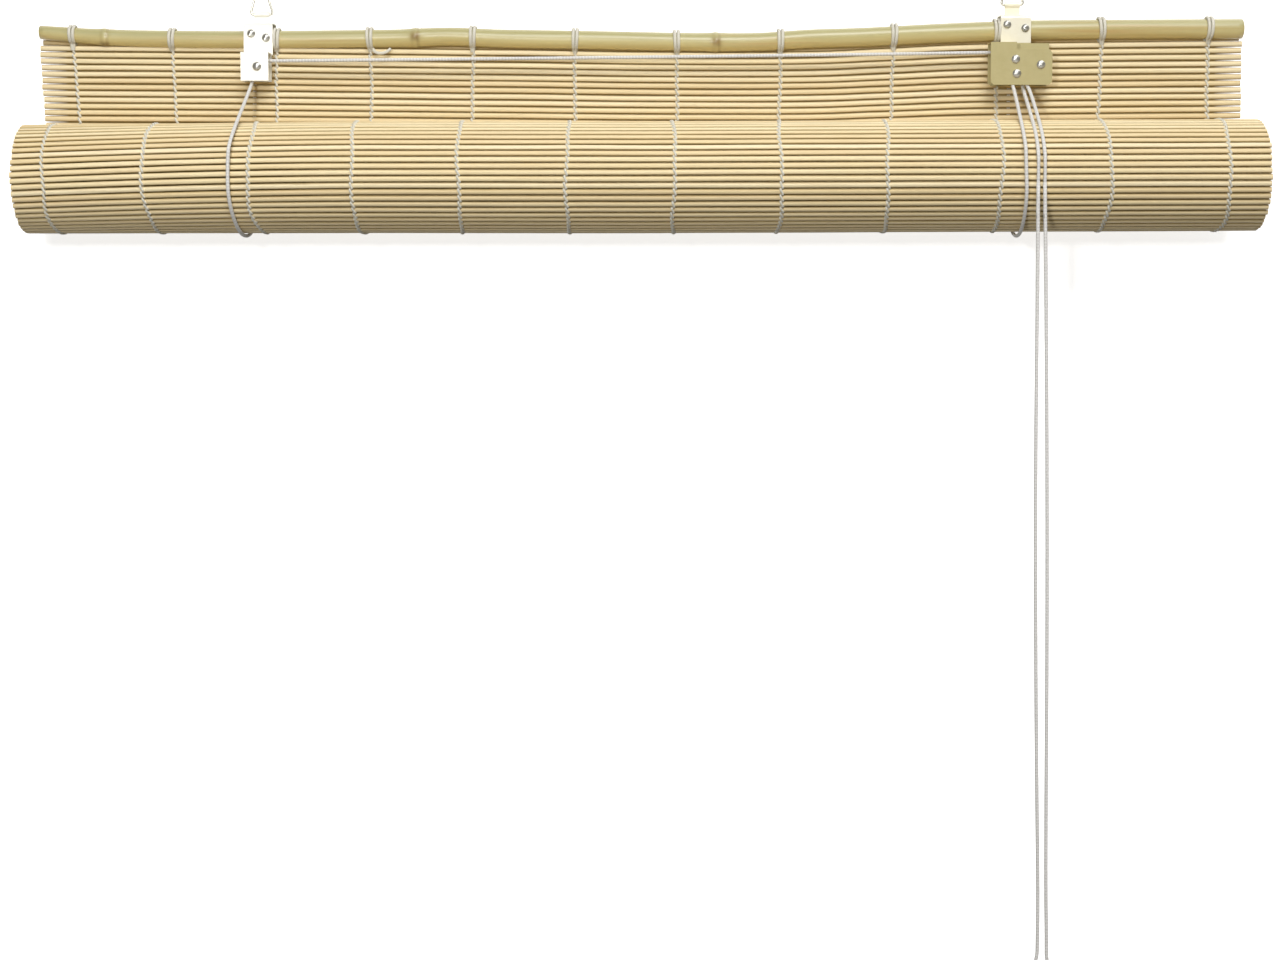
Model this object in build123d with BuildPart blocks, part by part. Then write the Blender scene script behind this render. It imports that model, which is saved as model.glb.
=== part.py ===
from build123d import *
from math import atan2, cos, degrees, pi, radians, sin, tan
import os

# Roll-up blind of bamboo slats, drawn up to its head pole.
# Origin: on the line through the inner tops of the two wire hanger rings, over the pole's middle.
# +X to the right along the pole, -Y out of the front, +Z up. Millimetres.
os.makedirs("parts", exist_ok=True)

# ---- driving dimensions ----
blind_width = 800.0

# slats and the mat they make
slat_width = 3.7
slat_thick = 2.1
slat_pitch = 4.18
slat_chamfer = 0.75
hanging_slats = 20

# the mat wound round the bottom pole
turn_pitch = 2.6
turns = 11
bottom_pole_d = 12.6
core_gap = 0.45

# bamboo
pole_wall = 2.6
knuckle_rise = 0.25
knuckle_half = 2.0
diaphragm = 3.0

# sheet-steel straps over the head pole
sheet = 0.8
pole_gap = 0.3
strap_x = {"left": -253.7, "right": 248.2}
strap_width = {"left": 19.2, "right": 20.0}
strap_top_above_pole = {"left": 10.6, "right": 9.9}
back_reach = 6.8
bend_inner = 1.6
tongue_width = 10.0
lug_drop = 5.5
lug_width = 8.0
lug_reach = 5.3
lug_hole_back = 3.7
knot_r = 2.2

# wire hanger rings
wire_d = 1.8
ring_half_base = 7.6
ring_corner_height = 27.0
ring_base_bend = 1.5
ring_top_bend = 2.4
hem_clear = 0.15
hem_rise = 6.5

# pulleys, rivets and screws
cord_d = 2.3
cord_clear = 0.25
plate_gap = 10.4
rivet_d = 3.0
rivet_head_d = 5.6
rivet_head_h = 1.5
tail_head_h = 0.7
bore_clear = 0.07
touch = 0.02
end_float = 0.35
pulley_left_groove_r = 2.4
pulley_right_groove_r = 3.7
pulley_lip = 1.45
screw_d = 2.6
screw_length = 8.0
screw_head_d = 5.3
screw_head_h = 1.7

# threads that bind the mat
thread = 0.35
thread_width = 1.5
thread_clear = 0.1
loop_clear = 0.15

# ---- derived places ----
half_width = blind_width / 2
pole_y = -back_reach - sheet / 2
back_face = pole_y + back_reach
lug_hole_y = pole_y + lug_hole_back
ring_apex_angle = atan2(ring_half_base, ring_corner_height)
ring_reach = ring_corner_height - ring_top_bend / sin(ring_apex_angle) + ring_top_bend - wire_d / 2
hem_z = {"left": -ring_reach - hem_rise / 2, "right": -ring_reach + hem_rise / 2}
hem_y = back_face + sheet / 2  # the rings' own plane, y = 0
hem_slope = atan2(hem_rise, strap_x["right"] - strap_x["left"])

# the head pole's natural bends: share of the width, height of its axis, diameter
pole_stations = [
    (-0.500, -35.4, 9.2),
    (-0.446, -38.5, 10.4),
    (-0.386, -39.8, 11.4),
    (-0.317, -40.1, 11.8),
    (-0.201, -39.2, 12.0),
    (-0.160, -38.1, 12.2),
    (-0.118, -39.4, 12.1),
    (-0.034, -40.5, 12.2),
    (0.049, -41.7, 12.4),
    (0.099, -41.6, 12.4),
    (0.140, -39.6, 12.5),
    (0.183, -38.5, 12.6),
    (0.233, -36.5, 12.7),
    (0.285, -34.8, 12.8),
    (0.339, -33.6, 12.9),
    (0.425, -33.1, 13.0),
    (0.500, -33.1, 13.2),
]
knuckle_shares = (-0.446, -0.188, 0.062, 0.3105)

# the top slat's line, sagging with the pole: share of the width, height
slat_line = [
    (-0.500, -47.6),
    (-0.319, -48.4),
    (-0.118, -48.8),
    (0.012, -50.2),
    (0.112, -50.3),
    (0.200, -48.0),
    (0.300, -44.8),
    (0.500, -43.0),
]
slat_level = -48.4
lowest_share_of_sag = 0.5

# warp threads: share of the width
warp_shares = (
    -0.4725,
    -0.3900,
    -0.3030,
    -0.2250,
    -0.1400,
    -0.0550,
    0.0300,
    0.1160,
    0.2100,
    0.2980,
    0.3830,
    0.4715,
)


def along(table, share, column=1):
    """Value of a column at a share of the width, straight between the table's rows."""
    for low, high in zip(table, table[1:]):
        if share <= high[0]:
            part_way = (share - low[0]) / (high[0] - low[0])
            return low[column] + (high[column] - low[column]) * part_way
    return table[-1][column]


def pole_z(x):
    return along(pole_stations, x / blind_width)


def pole_r(x):
    return along(pole_stations, x / blind_width, 2) / 2


def slat_z(number, x):
    """Height of a hanging slat's middle at x. Slat 0 is the top one."""
    fade = 1 - (1 - lowest_share_of_sag) * number / (hanging_slats - 1)
    sag = along(slat_line, x / blind_width) - slat_level
    return slat_level - number * slat_pitch + fade * sag


def beside_straps(x):
    """A warp thread that would run under a strap stands just beside it."""
    for side in ("left", "right"):
        reach = strap_width[side] / 2 + thread_width / 2 + 0.9
        if abs(x - strap_x[side]) < reach:
            x = strap_x[side] + (reach if x > strap_x[side] else -reach)
    return x


core_mid_r = bottom_pole_d / 2 + core_gap + slat_thick / 2
roll_mid_r = core_mid_r + turns * turn_pitch
roll_y = pole_y - roll_mid_r
roll_z = slat_level - hanging_slats * slat_pitch + 0.6

groove_r = {"left": pulley_left_groove_r, "right": pulley_right_groove_r}
path_r = {side: groove_r[side] + cord_clear + cord_d / 2 for side in groove_r}
front_face = {side: pole_y - pole_r(strap_x[side]) - pole_gap - sheet for side in strap_x}
cheek_back = {side: front_face[side] - plate_gap for side in strap_x}
lug_top = {side: pole_z(strap_x[side]) - pole_r(strap_x[side]) - lug_drop for side in strap_x}
lug_x = {"left": -258.0, "right": 246.0}

# rivet axes: x, z
left_rivet = (-252.7, -59.0)
pulley_rivet = (246.3, -54.3)
anvil_rivet = (247.1, -63.7)
cam_rivet = (262.9, -57.9)
right_rivets = (pulley_rivet, anvil_rivet, cam_rivet)
anvil_r = 2.4

# housings below the straps: left edge, right edge, top, bottom
left_house = (-263.4, -245.1, -49.6, -68.4)
right_house = (229.9, 270.4, -43.1, -71.1)
right_step = (247.0, -47.9)
house_chamfer = 2.0

pole_screws = {"left": ((-258.3, -36.6), (-248.5, -39.4)), "right": ((242.4, -30.7), (254.4, -33.1))}


# ---- head pole ----
def station_rows():
    """The pole's stations with three extra ones at each knuckle."""
    rows = [(share * blind_width, z, d / 2) for share, z, d in pole_stations]
    kept = [r for r in rows if all(abs(r[0] - k * blind_width) > knuckle_half + 1 for k in knuckle_shares)]
    for k in knuckle_shares:
        x = k * blind_width
        for shift, rise in ((-knuckle_half, 0), (0, knuckle_rise), (knuckle_half, 0)):
            kept.append((x + shift, pole_z(x + shift), pole_r(x + shift) + rise))
    return sorted(kept)


def hollow_rows(low, high):
    """Stations of one hollow between two knuckles, or between a knuckle and an end."""
    inner = [(s * blind_width, z, d / 2 - pole_wall) for s, z, d in pole_stations if low < s * blind_width < high]
    ends = [(x, pole_z(x), pole_r(x) - pole_wall) for x in (low, high)]
    return sorted(ends + inner)


knuckle_xs = [k * blind_width for k in knuckle_shares]
hollow_ends = [-half_width] + [x for k in knuckle_xs for x in (k - diaphragm / 2, k + diaphragm / 2)] + [half_width]

with BuildPart() as head_pole:
    for x, z, r in station_rows():
        with BuildSketch(Plane.YZ.offset(x)):
            with Locations((pole_y, z)):
                Circle(r)
    loft(ruled=True)
    for low, high in zip(hollow_ends[::2], hollow_ends[1::2]):
        for x, z, r in hollow_rows(low, high):
            with BuildSketch(Plane.YZ.offset(x)):
                with Locations((pole_y, z)):
                    Circle(r)
        loft(ruled=True, mode=Mode.SUBTRACT)
    for side in pole_screws:
        for x, z in pole_screws[side]:
            with Locations(Plane(origin=(x, front_face[side] + screw_length / 2, z), z_dir=(0, -1, 0))):
                Cylinder(screw_d / 2 + touch, screw_length + 1.6, mode=Mode.SUBTRACT)
head_pole.part.label = "head_pole"
export_step(head_pole.part, "parts/head_pole.step")

# ---- bottom pole, wound into the middle of the roll ----
with BuildPart() as bottom_pole:
    with Locations(Plane(origin=(0, roll_y, roll_z), z_dir=(1, 0, 0))):
        Cylinder(bottom_pole_d / 2, blind_width)
    knots = [share * blind_width for share in (-0.38, -0.13, 0.12, 0.37)]
    ends = [-half_width] + [x for k in knots for x in (k - diaphragm / 2, k + diaphragm / 2)] + [half_width]
    for low, high in zip(ends[::2], ends[1::2]):
        with Locations(Plane(origin=((low + high) / 2, roll_y, roll_z), z_dir=(1, 0, 0))):
            Cylinder(bottom_pole_d / 2 - pole_wall, high - low, mode=Mode.SUBTRACT)
bottom_pole.part.label = "bottom_pole"
export_step(bottom_pole.part, "parts/bottom_pole.step")


# ---- rolled mat: a spiral band, each half turn an arc ----
def half_turns(shift):
    """Ends of the band's half turns along Y, from the outside in, for a line off its middle by shift."""
    rows = []
    for k in range(2 * turns + 1):
        reach = roll_mid_r - k * turn_pitch / 2 + shift
        rows.append(reach if k % 2 == 0 else -reach)
    return rows


with BuildPart() as rolled_mat:
    with BuildSketch(Plane.YZ.offset(-half_width)):
        with BuildLine(Plane.XY):
            outer, inner = half_turns(slat_thick / 2), half_turns(-slat_thick / 2)
            for line in (outer, inner):
                for k, (start, end) in enumerate(zip(line, line[1:])):
                    low = roll_z - abs(start - end) / 2 * (1 if k % 2 == 0 else -1)
                    ThreePointArc(
                        (roll_y + start, roll_z), (roll_y + (start + end) / 2, low), (roll_y + end, roll_z)
                    )
            Line((roll_y + outer[0], roll_z), (roll_y + inner[0], roll_z))
            Line((roll_y + outer[-1], roll_z), (roll_y + inner[-1], roll_z))
        make_face()
    extrude(amount=blind_width)
rolled_mat.part.label = "rolled_mat"
export_step(rolled_mat.part, "parts/rolled_mat.step")

# ---- hanging slats ----
for number in range(hanging_slats):
    xs = [share * blind_width for share, _ in slat_line]
    top = [(x, slat_z(number, x) + slat_width / 2) for x in xs]
    bottom = [(x, slat_z(number, x) - slat_width / 2) for x in reversed(xs)]
    with BuildPart() as slat:
        with BuildSketch(Plane.XZ.offset(-pole_y - slat_thick / 2)):
            with BuildLine():
                Polyline(*top, *bottom, close=True)
            make_face()
        extrude(amount=slat_thick)
        front = slat.faces().sort_by(Axis.Y)[0]
        long_edges = [e for e in front.edges() if abs(e.center().X) < half_width - 1]
        chamfer(long_edges, slat_chamfer)
    slat.part.label = f"slat_{number + 1:02d}"
    export_step(slat.part, f"parts/slat_{number + 1:02d}.step")

# ---- warp threads: a loop round the pole and a twined ladder between the slats ----
for number, share in enumerate(warp_shares):
    x = beside_straps(share * blind_width)
    loop_r = pole_r(x) + loop_clear
    ladder_top = pole_z(x) - loop_r
    ladder_bottom = slat_z(hanging_slats - 1, x) - slat_width / 2 - thread
    half_depth = slat_thick / 2 + thread_clear
    with BuildPart() as warp:
        with BuildSketch(Plane.YZ.offset(x - thread_width / 2)):
            with Locations((pole_y, (ladder_top + ladder_bottom) / 2)):
                Rectangle(2 * (half_depth + thread), ladder_top - ladder_bottom)
            with Locations((pole_y, pole_z(x))):
                Circle(loop_r + thread)
            for k in range(hanging_slats):
                with Locations((pole_y, slat_z(k, x))):
                    Rectangle(2 * half_depth, slat_width + 2 * thread_clear, mode=Mode.SUBTRACT)
            with Locations((pole_y, pole_z(x))):
                Circle(loop_r, mode=Mode.SUBTRACT)
        extrude(amount=thread_width)
    warp.part.label = f"warp_{number + 1:02d}"
    export_step(warp.part, f"parts/warp_{number + 1:02d}.step")


# ---- straps: front flange, bend over the pole, back flange, tongue with its hem, cord lug ----
def folded_strap(side, rivets, house):
    x, width = strap_x[side], strap_width[side]
    front = front_face[side] + sheet / 2
    back = back_face + sheet / 2
    top = pole_z(x) + strap_top_above_pole[side]
    lug_z = lug_top[side]
    with BuildPart() as strap:
        # front flange, top and back flange, one folded strip
        with BuildSketch(Plane.YZ.offset(x - width / 2)):
            with BuildLine():
                FilletPolyline(
                    (front, house[2] - 1), (front, top - sheet / 2), (back, top - sheet / 2), (back, lug_z),
                    radius=bend_inner + sheet / 2,
                )
                offset(amount=sheet / 2, kind=Kind.TANGENT)
            make_face()
        extrude(amount=width)
        # the housing's back plate below the strip
        middle = (house[0] + house[1]) / 2
        with BuildSketch(Plane.XZ.offset(-front - sheet / 2)):
            with Locations((middle, (house[2] + house[3]) / 2)):
                Rectangle(house[1] - house[0], house[2] - house[3])
        extrude(amount=sheet)
        corners = strap.edges().filter_by(Axis.Y).group_by(Axis.Z)[0]
        if side == "right":
            chamfer(corners, house_chamfer)
        # tongue standing up from the back flange, with the hem rolled round the wire
        with BuildSketch(Plane.XZ.offset(-back - sheet / 2)):
            with Locations((x, (top - 4 + hem_z[side]) / 2)):
                Rectangle(tongue_width, hem_z[side] - top + 4)
        extrude(amount=sheet)
        hem_plane = Plane(
            origin=(x, hem_y, hem_z[side]),
            x_dir=(0, 1, 0),
            z_dir=(cos(hem_slope), 0, sin(hem_slope)),
        )
        hem_bore = wire_d / 2 + hem_clear
        with Locations(hem_plane):
            Cylinder(hem_bore + sheet, tongue_width)
        with Locations(hem_plane):
            Cylinder(hem_bore, tongue_width + 4, mode=Mode.SUBTRACT)
        # lug bent forward from the back flange's foot, with the lift cord's hole
        with Locations((lug_x[side], back_face - lug_reach / 2 + sheet / 2, lug_z - sheet / 2)):
            Box(lug_width, lug_reach + sheet, sheet)
        with Locations((lug_x[side], lug_hole_y, lug_z)):
            Cylinder(cord_d / 2 + 0.2, 4 * sheet, mode=Mode.SUBTRACT)
        # holes for the rivets and the wood screws
        for hx, hz in rivets:
            with Locations(Plane(origin=(hx, front, hz), z_dir=(0, -1, 0))):
                Cylinder(rivet_d / 2 + bore_clear, 2 * sheet, mode=Mode.SUBTRACT)
        for hx, hz in pole_screws[side]:
            with Locations(Plane(origin=(hx, front, hz), z_dir=(0, -1, 0))):
                Cylinder(screw_d / 2 + bore_clear, 2 * sheet, mode=Mode.SUBTRACT)
    strap.part.label = f"strap_{side}"
    export_step(strap.part, f"parts/strap_{side}.step")


folded_strap("left", (left_rivet,), left_house)
folded_strap("right", right_rivets, right_house)

# ---- front cheeks of the pulley housing and of the cord lock ----
with BuildPart() as cheek_left:
    x0, x1, z1, z0 = left_house
    back = cheek_back["left"]
    depth = plate_gap - touch
    with BuildSketch(Plane.XZ.offset(-back)):
        with Locations(((x0 + x1) / 2, (z0 + z1) / 2)):
            Rectangle(x1 - x0, z1 - z0)
    extrude(amount=sheet)
    with Locations(((x0 + x1) / 2, back + depth / 2, z1 - sheet / 2)):
        Box(x1 - x0, depth, sheet)
    with Locations((x0 + sheet / 2, back + depth / 2, z1 - 4)):
        Box(sheet, depth, 8)
    with Locations(Plane(origin=(left_rivet[0], back, left_rivet[1]), z_dir=(0, -1, 0))):
        Cylinder(rivet_d / 2 + bore_clear, 4 * sheet, mode=Mode.SUBTRACT)
cheek_left.part.label = "cheek_left"
export_step(cheek_left.part, "parts/cheek_left.step")

with BuildPart() as cheek_right:
    x0, x1, z1, z0 = right_house
    step_x, step_z = right_step
    back = cheek_back["right"]
    with BuildSketch(Plane.XZ.offset(-back)):
        with BuildLine():
            Polyline(
                (x0, z0 + house_chamfer),
                (x0, z1),
                (step_x, z1),
                (step_x, step_z),
                (x1 - house_chamfer, step_z),
                (x1, step_z - house_chamfer),
                (x1, z0 + house_chamfer),
                (x1 - house_chamfer, z0),
                (x0 + house_chamfer, z0),
                close=True,
            )
        make_face()
    extrude(amount=sheet)
    with Locations(((x0 + step_x) / 2, back + depth / 2, z1 - sheet / 2)):
        Box(step_x - x0, depth, sheet)
    with Locations((x1 - sheet / 2, back + depth / 2, (step_z + z0) / 2)):
        Box(sheet, depth, step_z - z0 - 2 * house_chamfer - 0.4)
    for hx, hz in right_rivets:
        with Locations(Plane(origin=(hx, back, hz), z_dir=(0, -1, 0))):
            Cylinder(rivet_d / 2 + bore_clear, 4 * sheet, mode=Mode.SUBTRACT)
cheek_right.part.label = "cheek_right"
export_step(cheek_right.part, "parts/cheek_right.step")


# ---- rivets: domed head in front, shank as the axle, flat head behind ----
def head_section(d, h, rim):
    """Corners and dome arc of a head's half section: radius along X, height out of the seat along -Y."""
    reach, rise = d / 2, h - rim
    ball = (reach**2 + rise**2) / (2 * rise)
    middle = (reach / 2, -h + ball - (ball**2 - reach**2 / 4) ** 0.5)
    return [(0, -h), (0, 0), (reach, 0), (reach, -rim)], [(reach, -rim), middle, (0, -h)]


def rivet(x, z, side):
    front = cheek_back[side] - sheet
    behind = front_face[side] + sheet
    corners, dome = head_section(rivet_head_d, rivet_head_h, 0.4)
    with BuildPart() as made:
        with Locations(Plane(origin=(x, (front + behind) / 2, z), z_dir=(0, -1, 0))):
            Cylinder(rivet_d / 2, behind - front + 0.4)
        with Locations(Plane(origin=(x, behind + touch + tail_head_h / 2, z), z_dir=(0, -1, 0))):
            Cylinder(rivet_head_d / 2 - 0.4, tail_head_h)
        with BuildSketch(Plane(origin=(x, front - touch, z), x_dir=(1, 0, 0), z_dir=(0, 0, 1))):
            with BuildLine():
                Polyline(*corners)
                ThreePointArc(*dome)
            make_face()
        revolve(axis=Axis((x, front, z), (0, 1, 0)))
    return made.part


with BuildPart() as rivet_left:
    add(rivet(*left_rivet, "left"))
rivet_left.part.label = "rivet_left"
export_step(rivet_left.part, "parts/rivet_left.step")

lock_rivet_parts = [rivet(x, z, "right") for x, z in right_rivets]
with BuildPart() as lock_rivets:
    add(lock_rivet_parts)
lock_rivets.part.label = "lock_rivets"
export_step(lock_rivets.part, "parts/lock_rivets.step")

# ---- wood screws ----
def wood_screw(x, z, side):
    seat = front_face[side] - touch
    corners, dome = head_section(screw_head_d, screw_head_h, 0.5)
    with BuildPart() as made:
        with Locations(Plane(origin=(x, seat + screw_length / 2 - 0.2, z), z_dir=(0, -1, 0))):
            Cylinder(screw_d / 2, screw_length)
        with BuildSketch(Plane(origin=(x, seat, z), x_dir=(1, 0, 0), z_dir=(0, 0, 1))):
            with BuildLine():
                Polyline(*corners)
                ThreePointArc(*dome)
            make_face()
        revolve(axis=Axis((x, seat, z), (0, 1, 0)))
        with Locations((x, seat - screw_head_h, z)):
            Box(0.8, 1.0, screw_head_d, rotation=(0, 30, 0), mode=Mode.SUBTRACT)
    return made.part


screw_parts = [wood_screw(x, z, side) for side in pole_screws for x, z in pole_screws[side]]
with BuildPart() as screw_group:
    add(screw_parts)
screw_group.part.label = "pole_screws"
export_step(screw_group.part, "parts/pole_screws.step")


# ---- pulleys, anvil roller and cam ----
def wheel_section(r, width, grooves):
    """Corners of a grooved wheel's half section about Y, from its middle: radius along X, width along Y."""
    bore = rivet_d / 2 + bore_clear
    rim = r + cord_d / 2 + cord_clear + pulley_lip
    each = width / grooves
    points = [(bore, -width / 2), (rim, -width / 2)]
    for k in range(grooves):
        start = -width / 2 + k * each
        half_floor = cord_d / 2 + cord_clear
        points.append((rim, start + 0.45))
        points.append((r, start + each / 2 - half_floor))
        points.append((r, start + each / 2 + half_floor))
        points.append((rim, start + each - 0.45))
    return points + [(rim, width / 2), (bore, width / 2)]


wheel_width = plate_gap - 2 * end_float

with BuildPart() as pulley_left:
    mid_y = front_face["left"] - plate_gap / 2
    with BuildSketch(Plane(origin=(left_rivet[0], mid_y, left_rivet[1]), x_dir=(1, 0, 0), z_dir=(0, 0, 1))):
        with BuildLine():
            Polyline(*wheel_section(groove_r["left"], wheel_width / 2, 1), close=True)
        make_face()
    revolve(axis=Axis((left_rivet[0], mid_y, left_rivet[1]), (0, 1, 0)))
    with Locations(Plane(origin=(left_rivet[0], mid_y, left_rivet[1]), z_dir=(0, -1, 0))):
        Cylinder(groove_r["left"], wheel_width)
        Cylinder(rivet_d / 2 + bore_clear, wheel_width + 1, mode=Mode.SUBTRACT)
pulley_left.part.label = "pulley_left"
export_step(pulley_left.part, "parts/pulley_left.step")

with BuildPart() as pulley_right:
    mid_y = front_face["right"] - plate_gap / 2
    with BuildSketch(Plane(origin=(pulley_rivet[0], mid_y, pulley_rivet[1]), x_dir=(1, 0, 0), z_dir=(0, 0, 1))):
        with BuildLine():
            Polyline(*wheel_section(groove_r["right"], wheel_width, 2), close=True)
        make_face()
    revolve(axis=Axis((pulley_rivet[0], mid_y, pulley_rivet[1]), (0, 1, 0)))
pulley_right.part.label = "pulley_right"
export_step(pulley_right.part, "parts/pulley_right.step")

with BuildPart() as anvil_roller:
    with Locations(Plane(origin=(anvil_rivet[0], mid_y, anvil_rivet[1]), z_dir=(0, -1, 0))):
        Cylinder(anvil_r, wheel_width)
        Cylinder(rivet_d / 2 + bore_clear, wheel_width + 1, mode=Mode.SUBTRACT)
anvil_roller.part.label = "anvil_roller"
export_step(anvil_roller.part, "parts/anvil_roller.step")

cam_nose = 10.1
cam_tail_r = 6.3
tooth = 0.55
with BuildPart() as lock_cam:
    with BuildSketch(Plane(origin=(cam_rivet[0], mid_y, cam_rivet[1]), x_dir=(1, 0, 0), z_dir=(0, -1, 0))):
        Circle(3.4)
        with BuildLine():
            Polyline(
                (-1.0, 3.2),
                (-cam_nose + 1.0, -0.6),
                (-cam_nose, -3.4),
                (-cam_nose, -5.2),
                (-cam_nose + 1.6, -8.0),
                (-2.0, -4.6),
                (3.4, -5.2),
                (cam_tail_r * cos(radians(38)), -cam_tail_r * sin(radians(38))),
                (cam_tail_r, 0.4),
                (3.2, 2.6),
                close=True,
            )
        make_face()
        for k in range(4):
            with Locations((-cam_nose, -1.6 - 1.25 * k - 0.5)):
                Circle(tooth / 2, mode=Mode.SUBTRACT)
        Circle(rivet_d / 2 + bore_clear, mode=Mode.SUBTRACT)
    extrude(amount=wheel_width / 2, both=True)
lock_cam.part.label = "lock_cam"
export_step(lock_cam.part, "parts/lock_cam.step")

# ---- wire hanger rings ----
for side in strap_x:
    plane = Plane(
        origin=(strap_x[side], hem_y, hem_z[side]),
        x_dir=(cos(hem_slope), 0, sin(hem_slope)),
        z_dir=(0, -1, 0),
    )
    with BuildPart() as ring:
        with BuildLine(plane) as wire:
            FilletPolyline(
                (ring_half_base, 0),
                (0, ring_corner_height),
                (-ring_half_base, 0),
                radius=[ring_base_bend, ring_top_bend, ring_base_bend],
                close=True,
            )
        start = wire.wire() @ 0
        with BuildSketch(Plane(origin=start, z_dir=wire.wire() % 0)):
            Circle(wire_d / 2)
        sweep(path=wire.wire(), transition=Transition.RIGHT)
    ring.part.label = f"hanger_ring_{side}"
    export_step(ring.part, f"parts/hanger_ring_{side}.step")


# ---- cords ----
def turn_at(points, k):
    before = Vector(*points[k]) - Vector(*points[k - 1])
    after = Vector(*points[k + 1]) - Vector(*points[k])
    return before.get_angle(after), before.length, after.length


def cord_tube(name, points, radii=None):
    """A tube of the cord's diameter through the points. A corner with no radius given takes the widest arc."""
    bends = []
    for k in range(1, len(points) - 1):
        turn, run_in, run_out = turn_at(points, k)
        widest = 0.45 * min(run_in, run_out) / tan(radians(turn / 2))
        bends.append((radii or {}).get(k, widest))
    with BuildPart() as cord:
        with BuildLine() as route:
            if bends:
                FilletPolyline(*points, radius=bends)
            else:
                Line(*points)
        path = route.wire()
        with BuildSketch(Plane(origin=path @ 0, z_dir=path % 0)):
            Circle(cord_d / 2)
        sweep(path=path)
    full = pi * cord_d**2 / 4 * path.length
    print(f"{name}: length {path.length:.1f}, volume ratio {cord.part.volume / full:.4f}, radii",
          [round(b, 1) for b in bends])
    cord.part.label = name
    export_step(cord.part, f"parts/{name}.step")
    return path


rear_y = front_face["right"] - plate_gap / 2 + wheel_width / 4
front_y = front_face["right"] - plate_gap / 2 - wheel_width / 4
left_y = front_face["left"] - plate_gap / 2
left_tangent_x = left_rivet[0] - path_r["left"]
right_tangent_x = pulley_rivet[0] - path_r["right"]
exit_x = pulley_rivet[0] + path_r["right"]
mouth_z = -66.4

# left lift cord: pulley, front of the roll, under it, up behind the mat to the lug
cord_tube(
    "lift_cord_left",
    [
        (left_tangent_x, left_y, left_rivet[1] - touch),
        (left_tangent_x, left_y, -66.2),
        (-257.2, -22.8, -72.4),
        (-260.2, -81.5, -109.4),
        (-261.5, -81.5, -169.9),
        (-260.4, -3.5, -169.9),
        (lug_x["left"], lug_hole_y, lug_top["left"] + 0.1),
    ],
    {1: 7.0, 2: 7.5, 3: 37.0, 4: 37.5, 5: 38.5},
)
# right lift cord
cord_tube(
    "lift_cord_right",
    [
        (right_tangent_x, front_y, pulley_rivet[1] - touch),
        (right_tangent_x, front_y, -68.4),
        (241.8, -26.1, -75.0),
        (242.6, -81.5, -110.2),
        (244.2, -81.5, -169.9),
        (245.6, -3.5, -169.9),
        (lug_x["right"], lug_hole_y, lug_top["right"] + 0.1),
    ],
    {1: 7.0, 2: 7.5, 3: 37.0, 4: 37.5, 5: 38.5},
)
# cross cord: over the left pulley, across the front, over the right pulley's rear groove, past the cam
cord_tube(
    "cross_cord",
    [
        (left_tangent_x, left_y, left_rivet[1]),
        (left_tangent_x, left_y, left_rivet[1] + path_r["left"]),
        (exit_x, rear_y, pulley_rivet[1] + path_r["right"]),
        (exit_x, rear_y, mouth_z),
    ],
    {1: path_r["left"] - 0.05, 2: path_r["right"] - 0.05},
)
# the right lift cord's own way over the front groove and past the cam
cord_tube(
    "lock_cord",
    [
        (right_tangent_x, front_y, pulley_rivet[1]),
        (right_tangent_x, front_y, pulley_rivet[1] + path_r["right"]),
        (exit_x, front_y, pulley_rivet[1] + path_r["right"]),
        (exit_x, front_y, mouth_z),
    ],
    {1: path_r["right"] - 0.05, 2: path_r["right"] - 0.05},
)
# leads: from the lock's mouth over the front of the roll
cord_tube(
    "lead_rear",
    [
        (exit_x, rear_y, mouth_z - touch),
        (exit_x, rear_y, -70.6),
        (251.9, -21.0, -75.4),
        (251.3, -81.5, -110.4),
        (251.2, -81.5, -136.0),
    ],
    {1: 6.9, 2: 7.0, 3: 37.0},
)
cord_tube(
    "lead_front",
    [
        (exit_x, front_y, mouth_z - touch),
        (exit_x, front_y, -70.4),
        (253.4, -25.9, -75.4),
        (255.4, -81.5, -111.0),
        (255.4, -81.5, -136.0),
    ],
    {1: 6.9, 2: 7.0, 3: 37.0},
)
# pull cords: the free lengths, down to the hank
cord_tube(
    "pull_cord_rear",
    [
        (251.2, -81.5, -136.0 - 2 * touch),
        (250.8, -81.6, -188.0),
        (250.1, -81.8, -246.0),
        (249.5, -82.1, -304.0),
        (249.2, -82.4, -362.0),
        (249.3, -82.7, -420.0),
        (249.6, -82.9, -478.0),
        (250.1, -83.0, -536.0),
        (250.8, -83.0, -592.0),
        (251.6, -82.9, -640.0),
    ],
)
cord_tube(
    "pull_cord_front",
    [
        (255.4, -81.5, -136.0 - 2 * touch),
        (255.9, -81.7, -188.0),
        (256.3, -82.0, -246.0),
        (256.6, -82.2, -304.0),
        (256.7, -82.5, -362.0),
        (256.6, -82.8, -420.0),
        (256.3, -83.1, -478.0),
        (255.9, -83.4, -536.0),
        (255.5, -83.8, -592.0),
        (255.2, -84.3, -640.0),
    ],
)

# ---- knots of the lift cords, seated on the lugs ----
with BuildPart() as lift_knots:
    for side in lug_x:
        seat = lug_top[side] + 0.1 + touch
        with Locations((lug_x[side], lug_hole_y, seat + knot_r)):
            Sphere(knot_r)
        with Locations((lug_x[side], lug_hole_y, seat + knot_r / 2)):
            Cylinder(knot_r * 0.8, knot_r)
lift_knots.part.label = "lift_knots"
export_step(lift_knots.part, "parts/lift_knots.step")

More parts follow.
